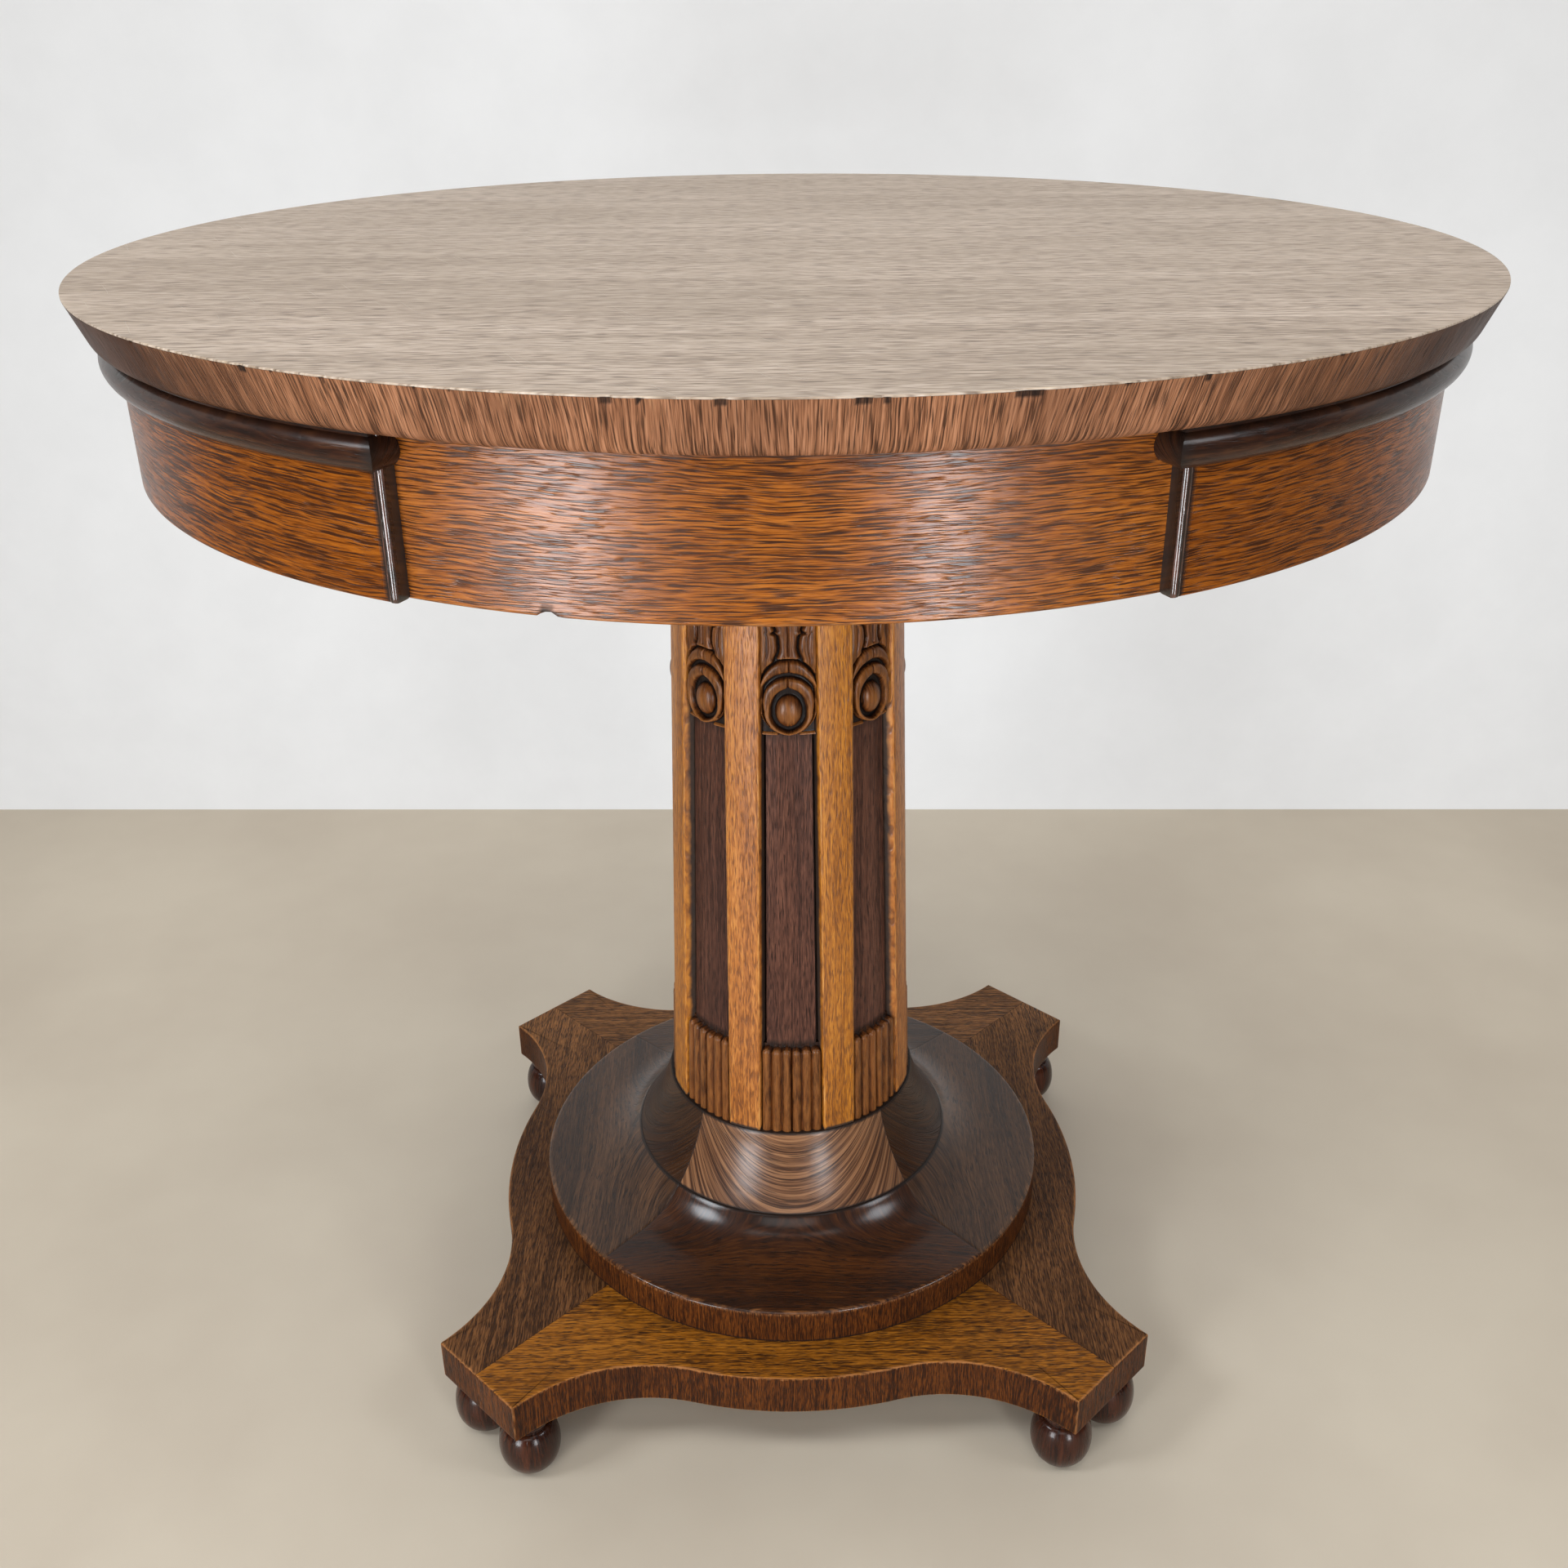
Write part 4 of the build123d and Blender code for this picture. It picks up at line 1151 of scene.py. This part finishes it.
base_angles = ring_angles(384, SEAMS)
collar_arc = tangent_arc((SEAM_R, DISC_HUB), (COLLAR_HEAD_R, COLUMN_FOOT), (-cove[0], -cove[1]), 26)
# the foot at the seam and the head under the column are darkened: painted shade where the collar meets the
# disc and the column
collar_line = [(ROD_BORE_R, DISC_HUB, 0), (SEAM_R - 0.9, DISC_HUB, -1)]
collar_line += [(SEAM_R - 0.35, DISC_HUB + 0.4, -1)]
collar_line += [(x, y, 0.0) for x, y in collar_arc[1:-1]]
collar_line += [(COLLAR_HEAD_R + 0.05, COLUMN_FOOT - 0.9, -0.6), (COLLAR_HEAD_R - 0.6, COLUMN_FOOT, -1)]
collar_line += [(ROD_BORE_R, COLUMN_FOOT, 0)]
collar_line = closed_fill(np.array(collar_line), 8.0)
points, faces = revolved(collar_line, base_angles)
groove = seam_share(points)
wear_and_shade = np.where(groove > 0.4, -0.9, np.tile(collar_line[:, 2], len(base_angles)))
points[:, :2] *= (1 - 0.002 * groove)[:, None]


piece(
    "collar_flare", points, faces, COLLAR_SHADED_SIDE, collar_grain, ("base_collar",), wear_and_shade,
    others=((COLLAR, front_quarter),),
)

disc_arc = tangent_arc((SEAM_R, DISC_HUB), DISC_FLAT, cove, 20)
# the rim's bottom edge on the plinth is darkened: painted shade
rim_line = rounded(
    [
        (DISC_FLAT[0], DISC_FLAT[1], 0, 0), (DISC_R, DISC_RIM, 2.6, 0.36),
        (DISC_R, PLINTH_TOP, 0.6, -0.8), (ROD_BORE_R, PLINTH_TOP, 0, 0), (ROD_BORE_R, DISC_HUB, 0, 0),
    ],
    6, 2.0,
)
# the disc is darkened at the collar's foot: painted shade
disc_line = [(SEAM_R - 0.7, DISC_HUB - 0.1, -1), (SEAM_R + 0.25, DISC_HUB - 0.75, -0.9)]
disc_line += [(x, y, 0.0) for x, y in disc_arc[1:-1]]
disc_line = closed_fill(np.vstack([np.array(disc_line), rim_line]), 7.0)
points, faces = revolved(disc_line, base_angles)
groove = seam_share(points)
on_seam = (groove > 0.4) & (radius_of(points) < DISC_R - 2)
wear_and_shade = np.where(on_seam, -0.75, np.tile(disc_line[:, 2], len(base_angles)))
points[:, 2] -= 0.12 * groove * (points[:, 2] > DISC_RIM)


def disc_grain(p, c, n):
    along, across, seed = mitred(p, c, 220.0)
    angle = angles_of(p, c) * DISC_R
    side = rim_face(c, n)
    return np.where(side, p[:, 2], along), np.where(side, angle, across), np.where(side, 231.0, seed)


piece(
    "base_disc_turned", points, faces, DISC, disc_grain, ("base_disc",), wear_and_shade,
    others=((DISC_FRONT, front_quarter), (PLINTH_EDGE, rim_face)),
)


def plinth_outline():
    """The board's outline, anticlockwise: a bow and two hollows to each side, and clipped corners."""
    cx, cy = PLINTH_CORNER
    wx, wy = PLINTH_WAVE
    slope = radians(WAVE_ANGLE)
    hollow = tangent_arc((wx, wy), (cx, cy), (cos(slope), sin(slope)), 22)
    chord = np.array([wx, wy]) - np.array([0, PLINTH_FRONT])
    radius = chord @ chord / (2 * chord[1])
    a = np.linspace(-np.arcsin(wx / radius), np.arcsin(wx / radius), 27)
    bow = np.column_stack([radius * np.sin(a), PLINTH_FRONT + radius * (1 - np.cos(a))])
    side = np.vstack([(hollow[::-1] * (-1, 1))[:-1], bow[:-1], hollow])
    middle = np.array([(cx - cy) / 2, (cy - cx) / 2])
    corner, far = side[-1], np.array([-cy, -cx])
    seam = unit(far - corner) * 0.45
    side = np.vstack(
        [side, [(corner + middle) / 2, middle - seam, middle, middle + seam, (middle + far) / 2]]
    )
    out = []
    for k in range(4):
        a = radians(90 * k)
        out.append(side @ np.array([[cos(a), sin(a)], [-sin(a), cos(a)]]))
    return np.vstack(out)


outline = plinth_outline()
# ease the sharp upright corners: pull each corner point in and add one on each side of it
SHARP_BEND = 0.35
eased = []
for i, p in enumerate(outline):
    a, b = outline[i - 1] - p, outline[(i + 1) % len(outline)] - p
    bend = np.arccos(np.clip(-(unit(a) @ unit(b)), -1, 1))
    if bend > SHARP_BEND:
        inwards, a, b = unit(a + b), unit(a), unit(b)
        eased.append((*(p + a * 1.6), 0.2))
        eased.append((*(p + a * 0.9 + b * 0.12), 0.9))
        eased.append((*(p + inwards * 0.42), 1.0))
        eased.append((*(p + b * 0.9 + a * 0.12), 0.9))
        eased.append((*(p + b * 1.6), 0.2))
    else:
        eased.append((*p, 0.0))
eased = np.array(eased)
flat = eased[:, :2]
ahead = np.roll(flat, -1, 0) - np.roll(flat, 1, 0)
outward = np.column_stack([ahead[:, 1], -ahead[:, 0]])
outward /= radius_of(outward)[:, None]
hub = flat / radius_of(flat)[:, None] * PLINTH_INNER_R
is_seam = np.abs(np.abs(flat[:, 0]) - np.abs(flat[:, 1])) < 0.1
levels = [(FOOT_TOP, 1.0, 0.2), (FOOT_TOP + 0.3, 0.35, 0.4), (FOOT_TOP + 1.0, 0.0, 0.2)]
levels += [(z, 0.0, 0.0) for z in np.linspace(FOOT_TOP + 3, PLINTH_TOP - 3.2, 7)]
levels += [(PLINTH_TOP - 1.3, 0.0, 0.5), (PLINTH_TOP - 0.45, 0.25, 0.95)]
levels += [(PLINTH_TOP - 0.1, 0.75, 0.95), (PLINTH_TOP, 1.5, 0.5)]
sections, wear_and_shade = [], []
for share in (1.0, 0.6, 0.25):
    sections.append(at_height(flat * (1 - share) + hub * share - outward * (1 - share), FOOT_TOP))
    wear_and_shade.append(np.zeros(len(flat)))
for z, inset, worn in levels:
    sections.append(at_height(flat - outward * inset, z))
    value = np.maximum(worn, eased[:, 2] * (0.9 if FOOT_TOP + 1 <= z < PLINTH_TOP else 0.3))
    value = value * (0.65 + 0.35 * wavy(np.arange(len(flat)) * 0.21, int(z * 7) % 90))
    wear_and_shade.append(np.where(is_seam, -0.8, value))
for share in (0.02, 0.06, 0.14, 0.25, 0.4, 0.6, 0.8, 1.0):
    sections.append(at_height((flat - outward * 1.5) * (1 - share) + hub * share, PLINTH_TOP))
    # the top is darkened in a ring round the disc's rim: painted shadow of the disc
    painted_disc_shadow = -0.5 * np.clip(1 - np.abs(radius_of(sections[-1]) - DISC_R) / 7.0, 0, 1)
    wear_and_shade.append(np.where(is_seam, -0.75, painted_disc_shadow))
points, faces = lofted(sections)


def plinth_grain(p, c, n):
    along, across, seed = mitred(p, c, 240.0)
    side = np.abs(n[:, 2]) < 0.6
    k = quarter(c)
    return np.where(side, p[:, 2], along), np.where(side, along, across), np.where(side, 260.0 + k, seed)


piece(
    "plinth_scalloped", points, faces, PLINTH_SIDE, plinth_grain, ("plinth_board",),
    np.concatenate(wear_and_shade), others=((PLINTH_FRONT_WOOD, front_quarter), (PLINTH_EDGE, upright_face)),
)

# a bun, a bead, a short neck; each point is (r, z, wear and shade)
a = np.radians(np.linspace(0, 90, 13))
low_r = BUN_FLAT_R + (BUN_R - BUN_FLAT_R) * np.sin(a)
bun = [(0.3, 0.0, 0.0), *zip(low_r, BUN_MID - BUN_MID * np.cos(a), np.full(13, 0.12))]
high_r = BUN_SHOULDER[0] + (BUN_R - BUN_SHOULDER[0]) * np.cos(a[1:])
high_z = BUN_MID + (BUN_SHOULDER[1] - BUN_MID) * np.sin(a[1:])
bun += zip(high_r, high_z, np.full(12, 0.1))
# the groove under the bun and the neck under the plinth are darkened: painted shade
bun += [(13.5, 37.6, -0.8), (13.9, 38.4, -0.6), (14.8, 39.6, 0.2), (NECK_R, 41.0, 0.2)]
bun += [(NECK_R, 44.2, -0.7), (14.8, FOOT_TOP, -1.0), (0.3, FOOT_TOP, 0.0)]
bun = np.array(bun)
for k, (x, y) in enumerate(sorted(FOOT_PLACES)):
    points, faces = revolved(bun, ring_angles(64))
    points = points + np.array([x, y, 0.0])

    def foot_grain(p, c, n, x=x, y=y, k=k):
        off, mid = p - (x, y, 0), c - (x, y, 0)
        return off[:, 2], angles_of(off, mid) * 18.0, 270.0 + k

    wear_and_shade = np.tile(bun[:, 2], 64)
    name = f"bun_foot_turned_{k + 1}"
    piece(name, points, faces, FOOT, foot_grain, (f"bun_foot_{k + 1}",), wear_and_shade)

# ------------------------------------------------------------------ inner parts keep their shape

inner = {
    "tabletop_core": raw_wood("core_wood", "X"), "bearer_long": raw_wood("bearer_wood_x", "X"),
    "bearer_cross": raw_wood("bearer_wood_y", "Y"), "head_block": raw_wood("head_wood", "X"),
    "glue_blocks": raw_wood("block_wood", "Z"),
}
metal = steel()
inner |= {name: metal for name in ("wood_screws", "tie_rod", "tie_rod_nuts", "tie_rod_washers")}
for name, material in inner.items():
    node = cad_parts[name]
    node.data.materials.clear()
    node.data.materials.append(material)

# ------------------------------------------------------------------ floor, wall, light and camera


def stage_plane(name, corners, material):
    mesh = bpy.data.meshes.new(name)
    mesh.from_pydata(corners, [], [(0, 1, 2, 3)])
    mesh.materials.append(material)
    obj = bpy.data.objects.new(name, mesh)
    bpy.context.scene.collection.objects.link(obj)


def stage_material(name, colour, other, scale, glow=0.0, one_sided=False):
    g = Graph(name)
    at = g.add("ShaderNodeTexCoord").outputs["Object"]
    shade = g.noise(at, scale, 4.0, 0.6)
    tint = g.mix(g.span(shade, 0.35, 0.65), colour, other)
    settings = {"Base Color": tint, "Roughness": 0.6, "Emission Color": tint, "Emission Strength": glow}
    shader = g.add("ShaderNodeBsdfPrincipled", settings)
    if not one_sided:
        return g.finish(shader)
    clear = g.add("ShaderNodeBsdfTransparent")
    back = g.add("ShaderNodeNewGeometry").outputs["Backfacing"]
    return g.finish(g.add("ShaderNodeMixShader", {0: back, 1: shader.outputs[0], 2: clear.outputs[0]}))


FLOOR_REACH = 6.0
WALL_Y = 0.745
WALL_H = 4.0
WALL_SLANT = 0.0225
stage_plane(
    "floor", [(x * FLOOR_REACH, y * FLOOR_REACH, 0) for x, y in ((-1, -1), (1, -1), (1, 1), (-1, 1))],
    stage_material("floor_plain", (0.50, 0.43, 0.34), (0.56, 0.49, 0.39), 3.0),
)
stage_plane(
    "wall",
    [
        (x, WALL_Y - WALL_SLANT * x, z)
        for x, z in ((FLOOR_REACH, WALL_H), (-FLOOR_REACH, WALL_H), (-FLOOR_REACH, 0), (FLOOR_REACH, 0))
    ],
    stage_material("wall_plain", (0.30, 0.30, 0.30), (0.31, 0.31, 0.31), 12.0, glow=1.68, one_sided=True),
)

world = bpy.data.worlds.new("soft_white")
bpy.context.scene.world = world
world.use_nodes = True
background = world.node_tree.nodes["Background"]
background.inputs[0].default_value = (0.93, 0.97, 1.0, 1.0)
background.inputs[1].default_value = 0.04


def facing(at, right, up, back):
    """A camera's or light's matrix: it stands at a point and looks away from 'back'."""
    return Matrix.Translation(at) @ Matrix(np.column_stack([right, up, back]).tolist()).to_4x4()


def area_light(name, azimuth, distance, height, size, power, colour, target=(0, 0, 0.45), spread=180):
    """A soft light at an azimuth from the front, in degrees towards +X, aimed at the table."""
    data = bpy.data.lights.new(name, "AREA")
    data.shape = "RECTANGLE"
    data.size, data.size_y = size
    data.energy = power
    data.color = colour
    data.spread = radians(spread)
    obj = bpy.data.objects.new(name, data)
    a = radians(azimuth)
    obj.location = (distance * sin(a), -distance * cos(a), height)
    back = unit(np.array(obj.location) - np.array(target))
    right = unit(np.cross((0, 0, 1), back))
    obj.matrix_world = facing(obj.location, right, np.cross(back, right), back)
    bpy.context.scene.collection.objects.link(obj)
    obj.visible_camera = False


WARM, COOL, SKY = (1.0, 0.98, 0.95), (0.92, 0.96, 1.0), (0.88, 0.94, 1.0)
area_light("front_soft", -3, 2.4, 2.3, (1.6, 1.2), 13, WARM, target=(0, 0, 0.4))
area_light("window_left", -33, 1.6, 0.45, (0.38, 0.9), 6.9, COOL, target=(0, 0, 0.55), spread=100)
area_light("window_right", 22, 1.6, 0.45, (0.22, 0.9), 4.4, COOL, target=(0, 0, 0.55), spread=100)
area_light("skylight_left", -66, 2.0, 2.1, (0.6, 0.6), 2.9, SKY, target=(0, 0, 0.1), spread=60)
area_light("skylight_right", 66, 2.0, 2.1, (0.6, 0.6), 1.6, SKY, target=(0, 0, 0.1), spread=60)
area_light("ceiling", 0, 0.4, 3.0, (2.0, 2.0), 43, WARM, target=(0, 0, 0))

SENSOR_MM, LENS_MM, SHIFT_X = 36.0, 36.20625, -0.00227
CAMERA_AT = (-0.0050, -0.9838, 0.9036)
pitch, yaw, roll = radians(26.674), radians(0.246), radians(0.495)
camera_data = bpy.data.cameras.new("camera")
camera_data.sensor_width, camera_data.lens, camera_data.shift_x = SENSOR_MM, LENS_MM, SHIFT_X
camera_data.clip_start, camera_data.clip_end = 0.05, 50.0
camera = bpy.data.objects.new("camera", camera_data)
forward = np.array([sin(yaw) * cos(pitch), cos(yaw) * cos(pitch), -sin(pitch)])
level = np.array([cos(yaw), -sin(yaw), 0.0])
upward = np.cross(level, forward)
right = level * cos(roll) - upward * sin(roll)
up = level * sin(roll) + upward * cos(roll)
camera.matrix_world = facing(CAMERA_AT, right, up, -forward)
bpy.context.scene.collection.objects.link(camera)
bpy.context.scene.camera = camera
bpy.context.scene.view_settings.view_transform = "Standard"
